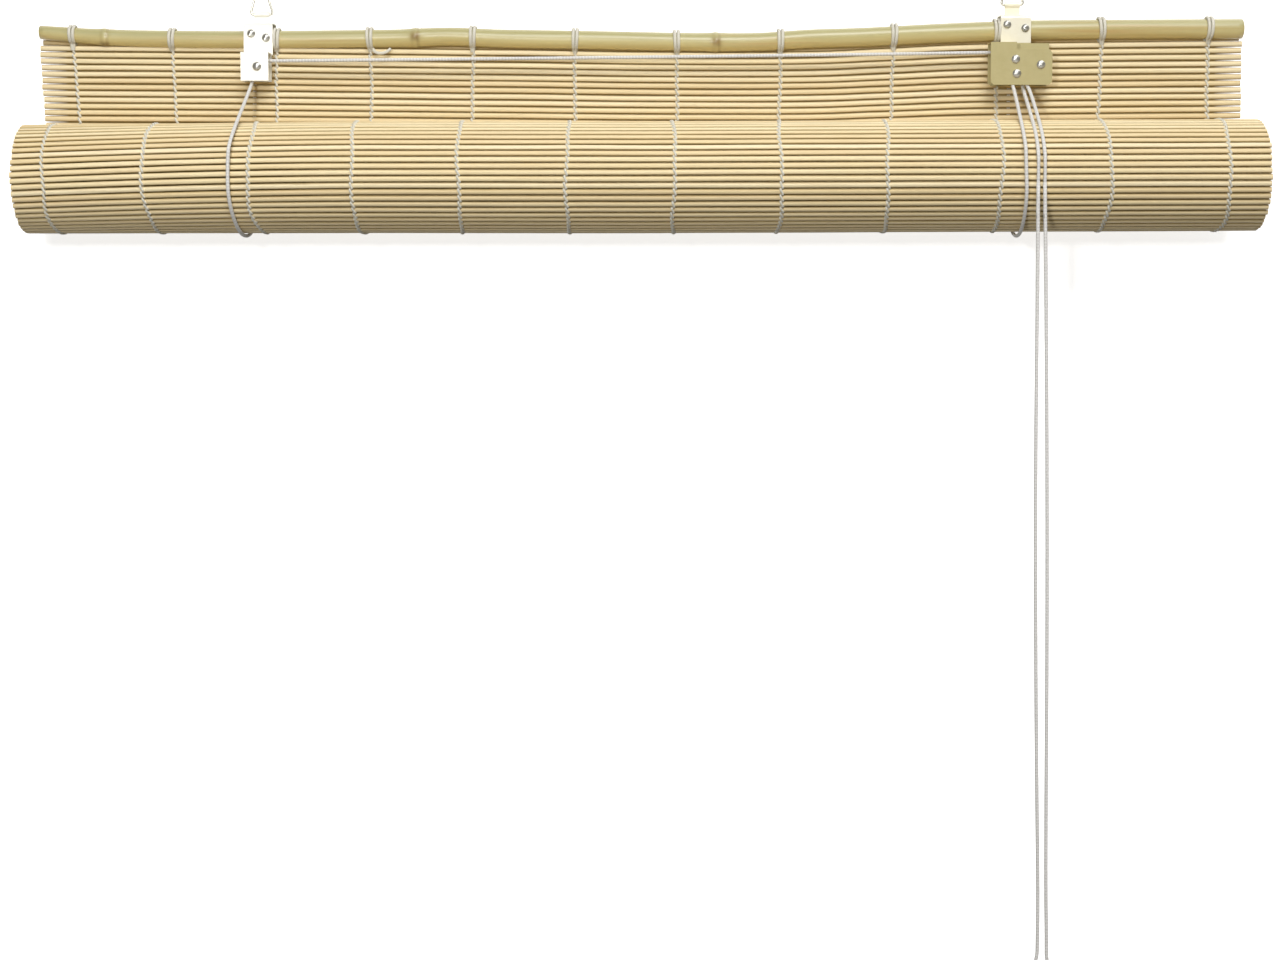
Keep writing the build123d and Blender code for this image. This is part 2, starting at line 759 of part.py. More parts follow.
# ---- the spare length of both pull cords, wound into one tied hank ----
hank_x, hank_y, hank_top = 253.4, -83.6, -640.0
hank_width, hank_height, hank_depth = 37.0, 84.0, 20.0
tie_height = 12.0
with BuildPart() as cord_hank:
    with BuildSketch(Plane.XZ.offset(-hank_y - hank_depth / 2)):
        with Locations((hank_x, hank_top - hank_height / 2)):
            SlotOverall(hank_height, hank_width, rotation=90)
    extrude(amount=hank_depth)
    fillet(cord_hank.edges().filter_by(Plane.XZ), 4.0)
    with Locations((hank_x, hank_y, hank_top - hank_height / 2)):
        Box(hank_width + 2 * cord_d, hank_depth + 2 * cord_d, tie_height)
cord_hank.part.label = "cord_hank"
export_step(cord_hank.part, "parts/cord_hank.step")

with BuildPart() as end_knot:
    with Locations((hank_x, hank_y, hank_top - hank_height - 4.4)):
        Sphere(4.4)
end_knot.part.label = "end_knot"
export_step(end_knot.part, "parts/end_knot.step")

print("roll", round(roll_y, 2), round(roll_z, 2), "outer", round(roll_mid_r + slat_thick / 2, 2))
print("paths", {k: round(v, 2) for k, v in path_r.items()}, "grooves", round(left_y, 2), round(rear_y, 2), round(front_y, 2))
print("hems", {k: round(v, 2) for k, v in hem_z.items()}, round(hem_y, 2), "slope", round(degrees(hem_slope), 3))
print("faces", {k: round(v, 2) for k, v in front_face.items()}, {k: round(v, 2) for k, v in cheek_back.items()})
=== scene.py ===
import math

import bmesh
import bpy
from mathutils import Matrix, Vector


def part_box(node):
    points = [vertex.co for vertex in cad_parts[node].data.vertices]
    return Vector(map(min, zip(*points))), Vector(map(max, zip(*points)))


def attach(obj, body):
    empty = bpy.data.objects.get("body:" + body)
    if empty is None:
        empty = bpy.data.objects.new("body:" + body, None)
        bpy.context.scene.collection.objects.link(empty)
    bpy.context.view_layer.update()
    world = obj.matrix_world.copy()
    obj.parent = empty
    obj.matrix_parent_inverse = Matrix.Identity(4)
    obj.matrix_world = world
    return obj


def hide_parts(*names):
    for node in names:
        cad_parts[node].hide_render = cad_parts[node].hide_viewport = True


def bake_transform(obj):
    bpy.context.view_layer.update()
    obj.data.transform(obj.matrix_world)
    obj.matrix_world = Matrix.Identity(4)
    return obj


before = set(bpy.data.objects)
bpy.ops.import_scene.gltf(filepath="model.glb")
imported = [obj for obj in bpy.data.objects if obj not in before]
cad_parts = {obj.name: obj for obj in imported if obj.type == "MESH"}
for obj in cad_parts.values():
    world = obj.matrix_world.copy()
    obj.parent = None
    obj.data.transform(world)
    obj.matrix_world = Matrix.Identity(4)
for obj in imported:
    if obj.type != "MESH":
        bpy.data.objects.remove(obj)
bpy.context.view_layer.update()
mm = 0.001


def metres(points):
    return [Vector(p) * mm for p in points]


# node trees written as expressions
class Wire:
    def __init__(self, tree, socket):
        self.tree, self.socket = tree, socket

    def math(self, operation, *values):
        return self.tree.node("ShaderNodeMath", {"operation": operation}, dict(enumerate(values)))

    def of(self, operation):
        return self.math(operation, self)

    def other(self, name):
        return Wire(self.tree, self.socket.node.outputs[name])

    def clamp(self, low, high):
        return self.math("MAXIMUM", self.math("MINIMUM", self, high), low)

    def __add__(self, value):
        return self.math("ADD", self, value)

    def __sub__(self, value):
        return self.math("SUBTRACT", self, value)

    def __rsub__(self, value):
        return self.math("SUBTRACT", value, self)

    def __mul__(self, value):
        return self.math("MULTIPLY", self, value)

    def __truediv__(self, value):
        return self.math("DIVIDE", self, value)

    def __lt__(self, value):
        return self.math("LESS_THAN", self, value)

    __radd__ = __add__
    __rmul__ = __mul__


class Tree:
    def __init__(self, raw):
        self.raw = raw

    def node(self, kind, settings=None, inputs=None, output=0):
        made = self.raw.nodes.new(kind)
        for name, value in (settings or {}).items():
            if name == "stops":
                ramp = made.color_ramp
                while len(ramp.elements) < len(value):
                    ramp.elements.new(0.5)
                for element, (place, colour) in zip(ramp.elements, value):
                    element.position, element.color = place, (*colour, 1)
            elif name == "curvePoints":
                line = made.mapping.curves[0]
                line.points[0].location, line.points[1].location = value[0], value[-1]
                for place in value[1:-1]:
                    line.points.new(*place)
                made.mapping.update()
            else:
                setattr(made, name, value)
        for key, value in (inputs or {}).items():
            if isinstance(value, Wire):
                self.raw.links.new(value.socket, made.inputs[key])
            else:
                made.inputs[key].default_value = value
        return Wire(self, made.outputs[output])

    def mix(self, factor, first, second, blend="MIX"):
        first = (*first, 1) if isinstance(first, tuple) else first
        second = (*second, 1) if isinstance(second, tuple) else second
        return self.node(
            "ShaderNodeMix", {"data_type": "RGBA", "blend_type": blend}, {0: factor, 6: first, 7: second}, 2
        )

    def combine(self, x=0.0, y=0.0, z=0.0):
        return self.node("ShaderNodeCombineXYZ", None, {0: x, 1: y, 2: z})

    def split(self, vector):
        whole = self.node("ShaderNodeSeparateXYZ", None, {0: vector})
        return whole, whole.other("Y"), whole.other("Z")

    def noise(self, vector, detail=2.0, rough=0.5):
        return self.node(
            "ShaderNodeTexNoise", None, {"Vector": vector, "Scale": 1.0, "Detail": detail, "Roughness": rough}
        )

    def vectorMath(self, operation, *values):
        return self.node("ShaderNodeVectorMath", {"operation": operation}, dict(enumerate(values)))

    def ramp(self, factor, *stops):
        return self.node("ShaderNodeValToRGB", {"stops": stops}, {0: factor})

    def store(self, geometry, name, value, domain="POINT"):
        return self.node(
            "GeometryNodeStoreNamedAttribute",
            {"data_type": "FLOAT", "domain": domain},
            {0: geometry, "Name": name, "Value": value},
        )

    def stored(self, name):
        return self.node("GeometryNodeInputNamedAttribute", {"data_type": "FLOAT"}, {"Name": name})


# finishes
class Finish(Tree):
    # a material with its shader, whose fixed values are set on the shader's own sockets
    def __init__(self, name, **fixed):
        self.material = bpy.data.materials.new(name)
        self.material.use_nodes = True
        super().__init__(self.material.node_tree)
        self.shader = self.raw.nodes["Principled BSDF"]
        for socket, value in fixed.items():
            self.shader.inputs[socket.replace("_", " ")].default_value = value
        self.place = self.node("ShaderNodeTexCoord", None, None, "Object")

    def feed(self, **wires):
        for socket, wire in wires.items():
            self.raw.links.new(wire.socket, self.shader.inputs[socket.replace("_", " ")])

    def bump(self, height, distance, strength):
        values = {"Strength": strength, "Distance": distance, "Height": height}
        self.feed(Normal=self.node("ShaderNodeBump", None, values))

    def grain(self, x, y, z, detail=2.0, rough=0.5):
        # noise with so many cells in a metre along each axis
        return self.noise(self.vectorMath("MULTIPLY", self.place, (x, y, z)), detail, rough)

    def attribute(self, name):
        return self.node("ShaderNodeAttribute", {"attribute_name": name}, None, "Fac")


def slatFinish():
    look = Finish("splitBamboo", Specular_IOR_Level=0.2)
    shade = look.attribute("shade")
    fibre = look.grain(22, 1500, 1500, 3.0, 0.6)
    patch = look.grain(9, 260, 260)
    stain = look.grain(30, 330, 330, 3.0, 0.7)
    tone = look.ramp(
        shade,
        (0.0, (0.80, 0.63, 0.36)),
        (0.25, (0.86, 0.70, 0.42)),
        (0.6, (0.90, 0.75, 0.46)),
        (1.0, (0.94, 0.81, 0.54)),
    )
    tone = look.mix((patch - 0.45).clamp(0, 1) * 0.9, tone, (0.80, 0.66, 0.34))
    tone = look.mix((fibre - 0.5).clamp(0, 1) * 1.5, tone, (0.62, 0.43, 0.20))
    tone = look.mix(((stain - 0.70) * 5).clamp(0, 0.75), tone, (0.24, 0.13, 0.05))
    # the long edges, where the slat was split, are painted dull and brown: partly the split edges' own
    # colour, partly painted shade of the gaps between slats
    tone = look.mix(((look.attribute("edge") - 0.55) * 2.2).clamp(0, 1) * 0.88, tone, (0.30, 0.19, 0.045))
    look.feed(Base_Color=tone, Roughness=fibre * 0.25 + 0.42)
    look.bump(fibre, 0.00012, 0.6)
    return look.material


def poleFinish():
    look = Finish("bambooSkin", Coat_Roughness=0.3)
    fibre = look.grain(14, 900, 900, 3.0, 0.6)
    cloud = look.grain(9, 90, 90)
    warm = look.grain(5, 160, 160, 3.0, 0.65)
    tone = look.mix(cloud, (0.49, 0.45, 0.225), (0.43, 0.385, 0.165))
    # painted light: the lower side and the flanks are painted a lighter, warmer gold
    tone = look.mix(look.attribute("under") * 0.75, tone, (0.86, 0.69, 0.29))
    tone = look.mix((fibre - 0.5).clamp(0, 1) * 0.8, tone, (0.34, 0.26, 0.09))
    tone = look.mix(((warm - 0.56) * 3).clamp(0, 0.55), tone, (0.55, 0.33, 0.11))
    tone = look.mix(look.attribute("scar") * (cloud * 0.5 + 0.6), tone, (0.27, 0.17, 0.06))
    tone = look.mix(look.attribute("pith"), tone, (0.80, 0.66, 0.42))
    look.feed(Base_Color=tone, Roughness=fibre * 0.2 + 0.3, Coat_Weight=(1 - look.attribute("scar")) * 0.45)
    look.bump(fibre * 0.6 + cloud, 0.0002, 0.5)
    return look.material


def threadFinish():
    look = Finish("cottonThread", Sheen_Weight=0.25, Roughness=0.85)
    x, y, z = look.split(look.place)
    fuzz = look.grain(2600, 2600, 2600)
    twist = ((y + z + x * 2.0) * 7000).of("SINE") * 0.5 + 0.5
    tone = look.mix(twist * 0.55 + fuzz * 0.35, (0.62, 0.58, 0.46), (0.93, 0.91, 0.82))
    look.feed(Base_Color=tone)
    look.bump(twist * 0.7 + fuzz * 0.5, 0.00015, 0.7)
    return look.material


def cordFinish():
    # the pattern follows each cord's own map: once round, and metres along
    look = Finish("braidedCord", Sheen_Weight=0.3, Roughness=0.8)
    around, along, _ = look.split(look.node("ShaderNodeUVMap", {"uv_map": "cordMap"}))
    turns, pitch = 4 * 2 * math.pi, 2 * math.pi / 0.0042
    one, two = around * turns + along * pitch, around * turns - along * pitch
    braid = one.of("SINE") * two.of("SINE") * 0.5 + 0.5
    fuzz = look.grain(1800, 1800, 1800)
    tone = look.mix(braid * 0.7 + fuzz * 0.3, (0.60, 0.59, 0.56), (0.88, 0.87, 0.85))
    look.feed(Base_Color=tone)
    look.bump(braid + fuzz * 0.4, 0.0002, 0.8)
    return look.material


def sheetFinish(name, base, worn, rough, metal, shadeBelow=None):
    # coated sheet steel, brushed along its fold, with dull wear; the last argument is a height and the colour
    # painted below it as shade and reflection
    look = Finish(name, Metallic=metal, Specular_IOR_Level=0.6)
    brushed = look.grain(260, 260, 5200, 3.0, 0.6)
    cloud = look.grain(140, 140, 140, 3.0, 0.6)
    tone = look.mix((cloud - 0.42).clamp(0, 1) * 1.6, base, worn)
    if shadeBelow:
        # painted shade and reflection: the sheet below the given height is darker
        height = look.split(look.place)[2]
        tone = look.mix(((shadeBelow[0] - height) * 2500).clamp(0, 1), tone, shadeBelow[1])
    tone = look.mix((brushed - 0.5).clamp(0, 1) * 0.7, tone, tuple(0.7 * c for c in base))
    look.feed(Base_Color=tone, Roughness=brushed * 0.18 + cloud * 0.12 + rough)
    look.bump(brushed, 0.00004, 0.4)
    return look.material


def steelFinish(name, base, rough):
    look = Finish(name, Metallic=0.9)
    brushed = look.grain(900, 900, 900)
    spots = look.grain(2600, 2600, 2600, 3.0, 0.7)
    tone = look.mix(((spots - 0.6) * 3).clamp(0, 0.6), base, (0.30, 0.27, 0.20))
    look.feed(Base_Color=tone, Roughness=brushed * 0.2 + rough)
    look.bump(brushed, 0.00003, 0.4)
    return look.material


def mouldedFinish():
    look = Finish("mouldedPlastic", Specular_IOR_Level=0.45)
    grain = look.grain(2200, 2200, 2200)
    cloud = look.grain(180, 180, 180)
    tone = look.mix(cloud, (0.86, 0.85, 0.79), (0.78, 0.76, 0.69))
    look.feed(Base_Color=tone, Roughness=grain * 0.15 + 0.4)
    look.bump(grain, 0.00003, 0.3)
    return look.material


# the blind's own places, read from the frame where it has them
railNodes = [f"slat_{k:02d}" for k in range(1, 21)]
warpNodes = [f"warp_{k:02d}" for k in range(1, 13)]
poleY = sum(c.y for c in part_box("slat_01")) / 2

mat = {
    "length": 0.800,
    "pitch": 4.18 * mm,
    "width": 3.6 * mm,
    "thickness": 2.4 * mm,
    "taper": 3.7 * mm,  # how much further in the last hanging slat starts at the left
    "skew": 4.5 * mm,  # how far the roll's left end lags behind the rest of its turn
    "skewFrom": -0.18,
    "skewTurn": 1.5,  # how much of a turn, in radians, it takes to lag so far
    "tighter": 1.2 * mm,  # how much smaller the roll's left end is wound
    "tilt": 1.5 * mm,  # how much higher the roll's right end sits
    "behindPole": 6.9 * mm,  # the mat's first row lies behind the pole
    "riseFrom": -0.12,  # where the hanging rows start to rise towards the left end
    "riseOver": 0.15,
    "riseTop": 1.8 * mm,
    "risePerRow": 0.05 * mm,
    "hangingRows": 20,
    "turnPitch": 2.6 * mm,
    "turns": 11,
    "outerRadius": 36.4 * mm,
    "rollStart": 0.35,  # rows between the last hanging slat's place and the first wound one
}
rollY = poleY - mat["outerRadius"]
rollZ = -131.4 * mm

headPole = {
    # share of the width, height of the axis, diameter
    "stations": [
        (-0.500, -35.4, 9.2),
        (-0.446, -38.5, 10.4),
        (-0.386, -39.8, 11.4),
        (-0.317, -40.1, 11.8),
        (-0.201, -39.2, 12.0),
        (-0.160, -38.1, 12.2),
        (-0.118, -39.4, 12.1),
        (-0.034, -40.5, 12.2),
        (0.049, -41.7, 12.4),
        (0.099, -41.6, 12.4),
        (0.140, -39.6, 12.5),
        (0.183, -38.5, 12.6),
        (0.233, -36.5, 12.7),
        (0.285, -34.8, 12.8),
        (0.339, -33.6, 12.9),
        (0.425, -33.1, 13.0),
        (0.500, -33.1, 13.2),
    ],
    "knuckles": (-0.446, -0.188, 0.062, 0.3105),
    # size, place and width in millimetres of what a knuckle has beside it: ridges, and dark rings
    "ridges": ((0.32, 0, 1.5), (-0.14, 2.9, 1.1), (0.35, 0, 7.0)),
    "rings": ((0.42, 2.4, 0.8), (0.15, -1.6, 1.0)),
    "budTurns": [math.radians(angle) for angle in (-125, 178, -178, 120)],
    "wall": 2.6 * mm,
    "hollow": 22 * mm,  # how deep each open end goes
    "rim": 0.4 * mm,
    "step": 4 * mm,
    "fine": 8,  # rings to each side of a knuckle, a millimetre apart
    "sides": 40,
}


def smoothAt(rows, share, column):
    # a smooth line through a table's rows
    places = [r[0] for r in rows]
    k = max(1, min(len(rows) - 1, sum(p < share for p in places)))
    before, low, high, after = (rows[max(0, min(len(rows) - 1, i))] for i in (k - 2, k - 1, k, k + 1))
    span = high[0] - low[0]
    t = (share - low[0]) / span
    slopeIn = (high[column] - before[column]) / max(high[0] - before[0], 1e-6) * span
    slopeOut = (after[column] - low[column]) / max(after[0] - low[0], 1e-6) * span
    return (
        low[column] * (2 * t**3 - 3 * t**2 + 1)
        + slopeIn * (t**3 - 2 * t**2 + t)
        + high[column] * (3 * t**2 - 2 * t**3)
        + slopeOut * (t**3 - t**2)
    )


def poleZ(x):
    return smoothAt(headPole["stations"], x / mat["length"], 1) * mm


def poleR(x):
    return smoothAt(headPole["stations"], x / mat["length"], 2) * mm / 2


def slatLine():
    # the top slat's sagging line, as its node has it: x and height of its middle
    heights = {}
    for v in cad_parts["slat_01"].data.vertices:
        heights.setdefault(round(v.co.x, 4), []).append(v.co.z)
    return sorted((x, (min(z) + max(z)) / 2) for x, z in heights.items())


topLine = slatLine()
levelZ = -48.4 * mm
sagScale = 12 * mm


def sagAt(x):
    rows = [(p, z - levelZ) for p, z in topLine]
    return smoothAt(rows, x, 1)


def rowZ(row, x):
    fade = 1 - 0.5 * row / (mat["hangingRows"] - 1)
    return levelZ - row * mat["pitch"] + fade * sagAt(x)


# shared makers
def meshObject(name, verts, faces, edges=()):
    mesh = bpy.data.meshes.new(name)
    mesh.from_pydata([tuple(v) for v in verts], list(edges), faces)
    made = bpy.data.objects.new(name, mesh)
    bpy.context.collection.objects.link(made)
    return made


def ringFaces(rings, sides):
    # quads between rings of points, and then a cap at each end
    faces = []
    for k in range(rings - 1):
        for s in range(sides):
            t = (s + 1) % sides
            faces.append((k * sides + s, k * sides + t, (k + 1) * sides + t, (k + 1) * sides + s))
    return faces + [tuple(reversed(range(sides))), tuple(range((rings - 1) * sides, rings * sides))]


def geometryTree(name, numbers, build):
    # a tree with named inputs: build gets the tree, its incoming geometry and the inputs by name
    raw = bpy.data.node_groups.new(name, "GeometryNodeTree")
    tree = Tree(raw)
    raw.interface.new_socket(name="Geometry", in_out="INPUT", socket_type="NodeSocketGeometry")
    raw.interface.new_socket(name="Geometry", in_out="OUTPUT", socket_type="NodeSocketGeometry")
    for label, value in numbers.items():
        if isinstance(value, bpy.types.Material):
            kind = "NodeSocketMaterial"
        else:
            kind = "NodeSocketInt" if isinstance(value, int) else "NodeSocketFloat"
        raw.interface.new_socket(name=label, in_out="INPUT", socket_type=kind)
    entry = tree.node("NodeGroupInput")
    result = build(tree, entry, {label: entry.other(label) for label in numbers})
    outlet = raw.nodes.new("NodeGroupOutput")
    real = tree.node("GeometryNodeRealizeInstances", None, {0: result})
    done = tree.node("GeometryNodeSetMaterial", None, {0: real, "Material": entry.other("Finish")})
    raw.links.new(done.socket, outlet.inputs[0])
    return raw


def grown(name, base, raw, numbers):
    # runs a tree on a base object and keeps the result as a plain mesh
    modifier = base.modifiers.new("grow", "NODES")
    modifier.node_group = raw
    for item in raw.interface.items_tree:
        if item.in_out == "INPUT" and item.name in numbers:
            modifier[item.identifier] = numbers[item.name]
    bpy.context.view_layer.update()
    evaluated = base.evaluated_get(bpy.context.evaluated_depsgraph_get())
    mesh = bpy.data.meshes.new_from_object(evaluated)
    base.modifiers.remove(modifier)
    bpy.data.objects.remove(base)
    mesh.name = name
    made = bpy.data.objects.new(name, mesh)
    bpy.context.collection.objects.link(made)
    return made


def keep(piece, body, slotName, *nodes):
    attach(piece, body)
    if nodes:
        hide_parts(*nodes)


slatMaterial = slatFinish()
poleMaterial = poleFinish()
threadMaterial = threadFinish()
cordMaterial = cordFinish()

# camera
view = {"lens": 55.98, "place": (0, -1.344, -0.150), "pitch": -4.04, "shiftX": -0.0008, "shiftY": -0.105}
cameraData = bpy.data.cameras.new("camera")
cameraData.lens = view["lens"]
cameraData.sensor_width = 36
cameraData.shift_x, cameraData.shift_y = view["shiftX"], view["shiftY"]
camera = bpy.data.objects.new("camera", cameraData)
camera.location = view["place"]
camera.rotation_euler = (math.radians(90 + view["pitch"]), 0, 0)
bpy.context.collection.objects.link(camera)
bpy.context.scene.camera = camera
print("camera in place")

# cords
cordSize = {
    "diameter": 2.3 * mm,
    "sides": 12,
    "resolution": 10,
    # a lead's last stretch runs on, slimmer, inside the free cord, so that no gap opens as the roll rises
    "slimFrom": 0.72,
    "slimmer": 0.9,
}


def routeLine(points):
    # the points that a smooth line through the route runs along
    curve = bpy.data.curves.new("route", "CURVE")
    curve.dimensions = "3D"
    curve.resolution_u = cordSize["resolution"]
    spline = curve.splines.new("NURBS")
    spline.points.add(len(points) - 1)
    for point, place in zip(spline.points, points):
        point.co = (*place, 1)
    spline.order_u = 3
    spline.use_endpoint_u = True
    helper = bpy.data.objects.new("route", curve)
    bpy.context.collection.objects.link(helper)
    bpy.context.view_layer.update()
    mesh = bpy.data.meshes.new_from_object(helper.evaluated_get(bpy.context.evaluated_depsgraph_get()))
    line = [v.co.copy() for v in mesh.vertices]
    bpy.data.objects.remove(helper)
    bpy.data.curves.remove(curve)
    bpy.data.meshes.remove(mesh)
    return line


def lineLength(line):
    return sum((b - a).length for a, b in zip(line, line[1:]))


def tubeAlong(name, line, radius, sides, material, taper=None):
    # a closed tube with its own map: once round, and metres along
    verts, maps = [], []
    side = None
    along = 0.0
    for k, place in enumerate(line):
        ahead = (line[min(k + 1, len(line) - 1)] - line[max(k - 1, 0)]).normalized()
        if side is None:
            side = ahead.orthogonal().normalized()
        side = (side - ahead * side.dot(ahead)).normalized()
        up = ahead.cross(side)
        if k:
            along += (place - line[k - 1]).length
        r = radius * (taper(k / (len(line) - 1)) if taper else 1)
        for s in range(sides):
            turn = 2 * math.pi * s / sides
            verts.append(place + side * math.cos(turn) * r + up * math.sin(turn) * r)
        maps.append(along)
    faces = ringFaces(len(line), sides)
    body = len(faces) - 2
    made = meshObject(name, verts, faces)
    mesh = made.data
    layer = mesh.uv_layers.new(name="cordMap")
    for polygon in mesh.polygons:
        polygon.use_smooth = polygon.index < body
        for corner, loop in enumerate(polygon.loop_indices):
            if polygon.index < body:
                k, s = divmod(polygon.index, sides)
                around = (s + (corner in (1, 2))) / sides
                layer.data[loop].uv = (around, maps[k + (corner in (2, 3))])
            else:
                layer.data[loop].uv = (0.5, maps[0 if polygon.index == body else -1])
    mesh.materials.append(material)
    return made


# routes, in millimetres
liftRoutes = {
    "left": [
        (-256.5, -19.4, -59.02),
        (-256.5, -19.4, -66.2),
        (-257.2, -22.8, -72.4),
        (-260.2, -80.9, -109.4),
        (-261.1, -82.2, -122.0),
        (-261.3, -82.2, -147.6),
        (-258.4, -59.6, -170.1),
        (-256.4, -27.2, -170.1),
        (-257.4, -3.6, -148.5),
        (-259.6, -3.5, -110.0),
        (-258.0, -3.5, -51.3),
    ],
    "right": [
        (241.2, -22.35, -54.32),
        (241.7, -22.35, -62.0),
        (244.6, -22.7, -69.8),
        (245.6, -28.5, -77.0),
        (243.0, -80.9, -110.2),
        (243.2, -82.2, -122.0),
        (244.2, -82.2, -147.6),
        (244.6, -59.6, -170.1),
        (245.0, -27.2, -170.1),
        (245.6, -3.6, -148.5),
        (245.8, -3.5, -110.0),
        (246.0, -3.5, -45.9),
    ],
}
crossRoute = [
    (-256.5, -19.4, -59.0),
    (-256.5, -19.4, -55.2),
    (-244.0, -19.35, -55.05),
    (-120.0, -18.9, -53.9),
    (120.0, -17.9, -51.2),
    (238.0, -17.5, -49.3),
    (251.4, -17.5, -49.2),
    (251.4, -17.5, -54.5),
    (251.4, -17.5, -66.4),
]
lockRoute = [
    (241.2, -22.35, -54.3),
    (241.2, -22.35, -49.2),
    (251.4, -22.35, -49.2),
    (251.4, -22.35, -54.5),
    (251.4, -22.35, -66.4),
]
leadRoutes = {
    "rear": [
        (251.4, -17.5, -66.42),
        (252.0, -17.6, -69.8),
        (252.9, -21.6, -76.0),
        (251.3, -81.5, -110.4),
        (251.2, -81.5, -136.0),
        (251.0, -81.55, -158.0),
    ],
    "front": [
        (251.4, -22.35, -66.42),
        (253.6, -22.5, -69.6),
        (256.3, -26.6, -76.0),
        (255.4, -81.5, -111.0),
        (255.4, -81.5, -136.0),
        (255.6, -81.6, -158.0),
    ],
}
pullRoutes = {
    "rear": [
        (251.2, -81.5, -136.04),
        (251.5, -81.6, -188.0),
        (251.6, -81.8, -246.0),
        (251.8, -82.1, -304.0),
        (252.3, -82.4, -362.0),
        (253.2, -82.7, -420.0),
        (254.3, -82.9, -478.0),
        (255.6, -83.0, -536.0),
        (257.1, -82.6, -592.0),
        (257.3, -82.4, -622.0),
        (257.2, -82.4, -643.0),
    ],
    "front": [
        (255.4, -81.5, -136.04),
        (256.6, -81.7, -188.0),
        (257.8, -82.0, -246.0),
        (258.9, -82.2, -304.0),
        (259.8, -82.5, -362.0),
        (260.5, -82.8, -420.0),
        (261.0, -83.1, -478.0),
        (261.4, -83.4, -536.0),
        (261.8, -84.4, -592.0),
        (262.6, -84.8, -622.0),
        (262.8, -84.8, -643.0),
    ],
}
hank = {
    "place": (258.4, -83.6, -689.5),
    "outerRadius": 17.2,
    "layerPitch": 2.4,
    "layers": 5,
    "turnsPerLayer": 3,
    "columnPitch": 2.35,
    "straightHalf": 23.4,
    "gapHalf": 1.2,
    "arcPoints": 6,
    "entry": 3.4,
}


def hankTurns(side):
    # an oval coil wound outside in, side to side; side is +1 behind the hank's middle and -1 in front of it
    cx, cy, cz = hank["place"]
    perTurn = 2 * (hank["arcPoints"] + 1)
    total = hank["turnsPerLayer"] * perTurn
    reach = hank["turnsPerLayer"] * hank["columnPitch"]
    # the standing part comes in down one side
    entryZ = cz + hank["straightHalf"] + hank["entry"]
    points = [(cx - side * hank["outerRadius"], cy + side * hank["gapHalf"], entryZ)]
    for layer in range(hank["layers"]):
        for k in range(total):
            radius = hank["outerRadius"] - layer * hank["layerPitch"]
            if layer and k < perTurn / 2:
                radius += hank["layerPitch"] * (1 - 2 * k / perTurn)
                progress = 0.0
            else:
                progress = k / total if not layer else (k - perTurn / 2) / (total - perTurn / 2)
            depth = progress * reach if layer % 2 == 0 else (1 - progress) * reach
            corner = k % perTurn
            # the way goes down one side, round the bottom, up the other side and over the top
            if corner <= hank["arcPoints"]:
                angle = math.pi + corner * math.pi / hank["arcPoints"]
                middle = -hank["straightHalf"]
            else:
                angle = (corner - hank["arcPoints"] - 1) * math.pi / hank["arcPoints"]
                middle = hank["straightHalf"]
            points.append(
                (
                    cx + side * radius * math.cos(angle),
                    cy + side * (hank["gapHalf"] + depth),
                    cz + middle + radius * math.sin(angle),
                )
            )
    return points


def pullTail(side):
    cx, cy, cz = hank["place"]
    far = hank["gapHalf"] + hank["turnsPerLayer"] * hank["columnPitch"]
    inner = hank["outerRadius"] - (hank["layers"] - 1) * hank["layerPitch"]
    return [
        (cx - side * inner, cy + side * (far + 0.3), cz - 4),
        (cx - side * (inner - 0.4), cy + side * (far + 2.4), cz - 18),
        (cx - side * 5.0, cy + side * (far + 2.8), cz - 32),
        (cx - side * 2.6, cy + side * (far + 1.6), cz - 42.0),
        (cx - side * 1.4, cy + side * 4.5, cz - 45.4),
        (cx - side * 0.8, cy + side * 1.0, cz - 46.2),
    ]


def leadTaper(share):
    return 1 if share < cordSize["slimFrom"] else cordSize["slimmer"]


radius = cordSize["diameter"] / 2
sides = cordSize["sides"]
cross = tubeAlong("crossCord", routeLine(metres(crossRoute)), radius, sides, cordMaterial)
keep(cross, "headrail", "cord", "cross_cord")
lock = tubeAlong("lockCord", routeLine(metres(lockRoute)), radius, sides, cordMaterial)
keep(lock, "headrail", "cord", "lock_cord")
for side, route in liftRoutes.items():
    lift = tubeAlong(f"liftCord_{side}", routeLine(metres(route)), radius, sides, cordMaterial)
    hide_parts(f"lift_cord_{side}")
    route[1][2] * mm
    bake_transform(lift)
for side, route in leadRoutes.items():
    lead = tubeAlong(f"leadCord_{side}", routeLine(metres(route)), radius, sides, cordMaterial, leadTaper)
    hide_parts(f"lead_{side}")
    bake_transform(lead)

# the hank's tie, and the two cords' common end knot
tie = {"halfWidth": 19.5, "halfDepth": 10.9, "wraps": 5, "rise": 2.35, "corner": 4.0, "bulge": 0.6}


def tieRoute():
    cx, cy, cz = hank["place"]
    w, d, c, b = tie["halfWidth"], tie["halfDepth"], tie["corner"], tie["bulge"]
    ring = [(-w, -d + c), (-w + c, -d), (0, -d - b), (w - c, -d), (w, -d + c), (w + 0.5, 0)]
    ring += [(w, d - c), (w - c, d), (0, d + b), (-w + c, d), (-w, d - c), (-w - 0.5, 0)]
    low = cz - tie["wraps"] * tie["rise"] / 2
    rounds = ring * tie["wraps"] + ring[:1]
    return [(cx + x, cy + y, low + k * tie["rise"] / len(ring)) for k, (x, y) in enumerate(rounds)]


def knotLine(place, size, lift, steps=120):
    # an overhand knot: a closed three-lobed line
    line = []
    for k in range(steps):
        t = 2 * math.pi * k / steps
        x = math.sin(t) + 2 * math.sin(2 * t)
        y = math.cos(t) - 2 * math.cos(2 * t)
        z = -math.sin(3 * t)
        line.append(place + Vector((x * size / 3, y * size / 3, z * lift)))
    return line + [line[0].copy()]


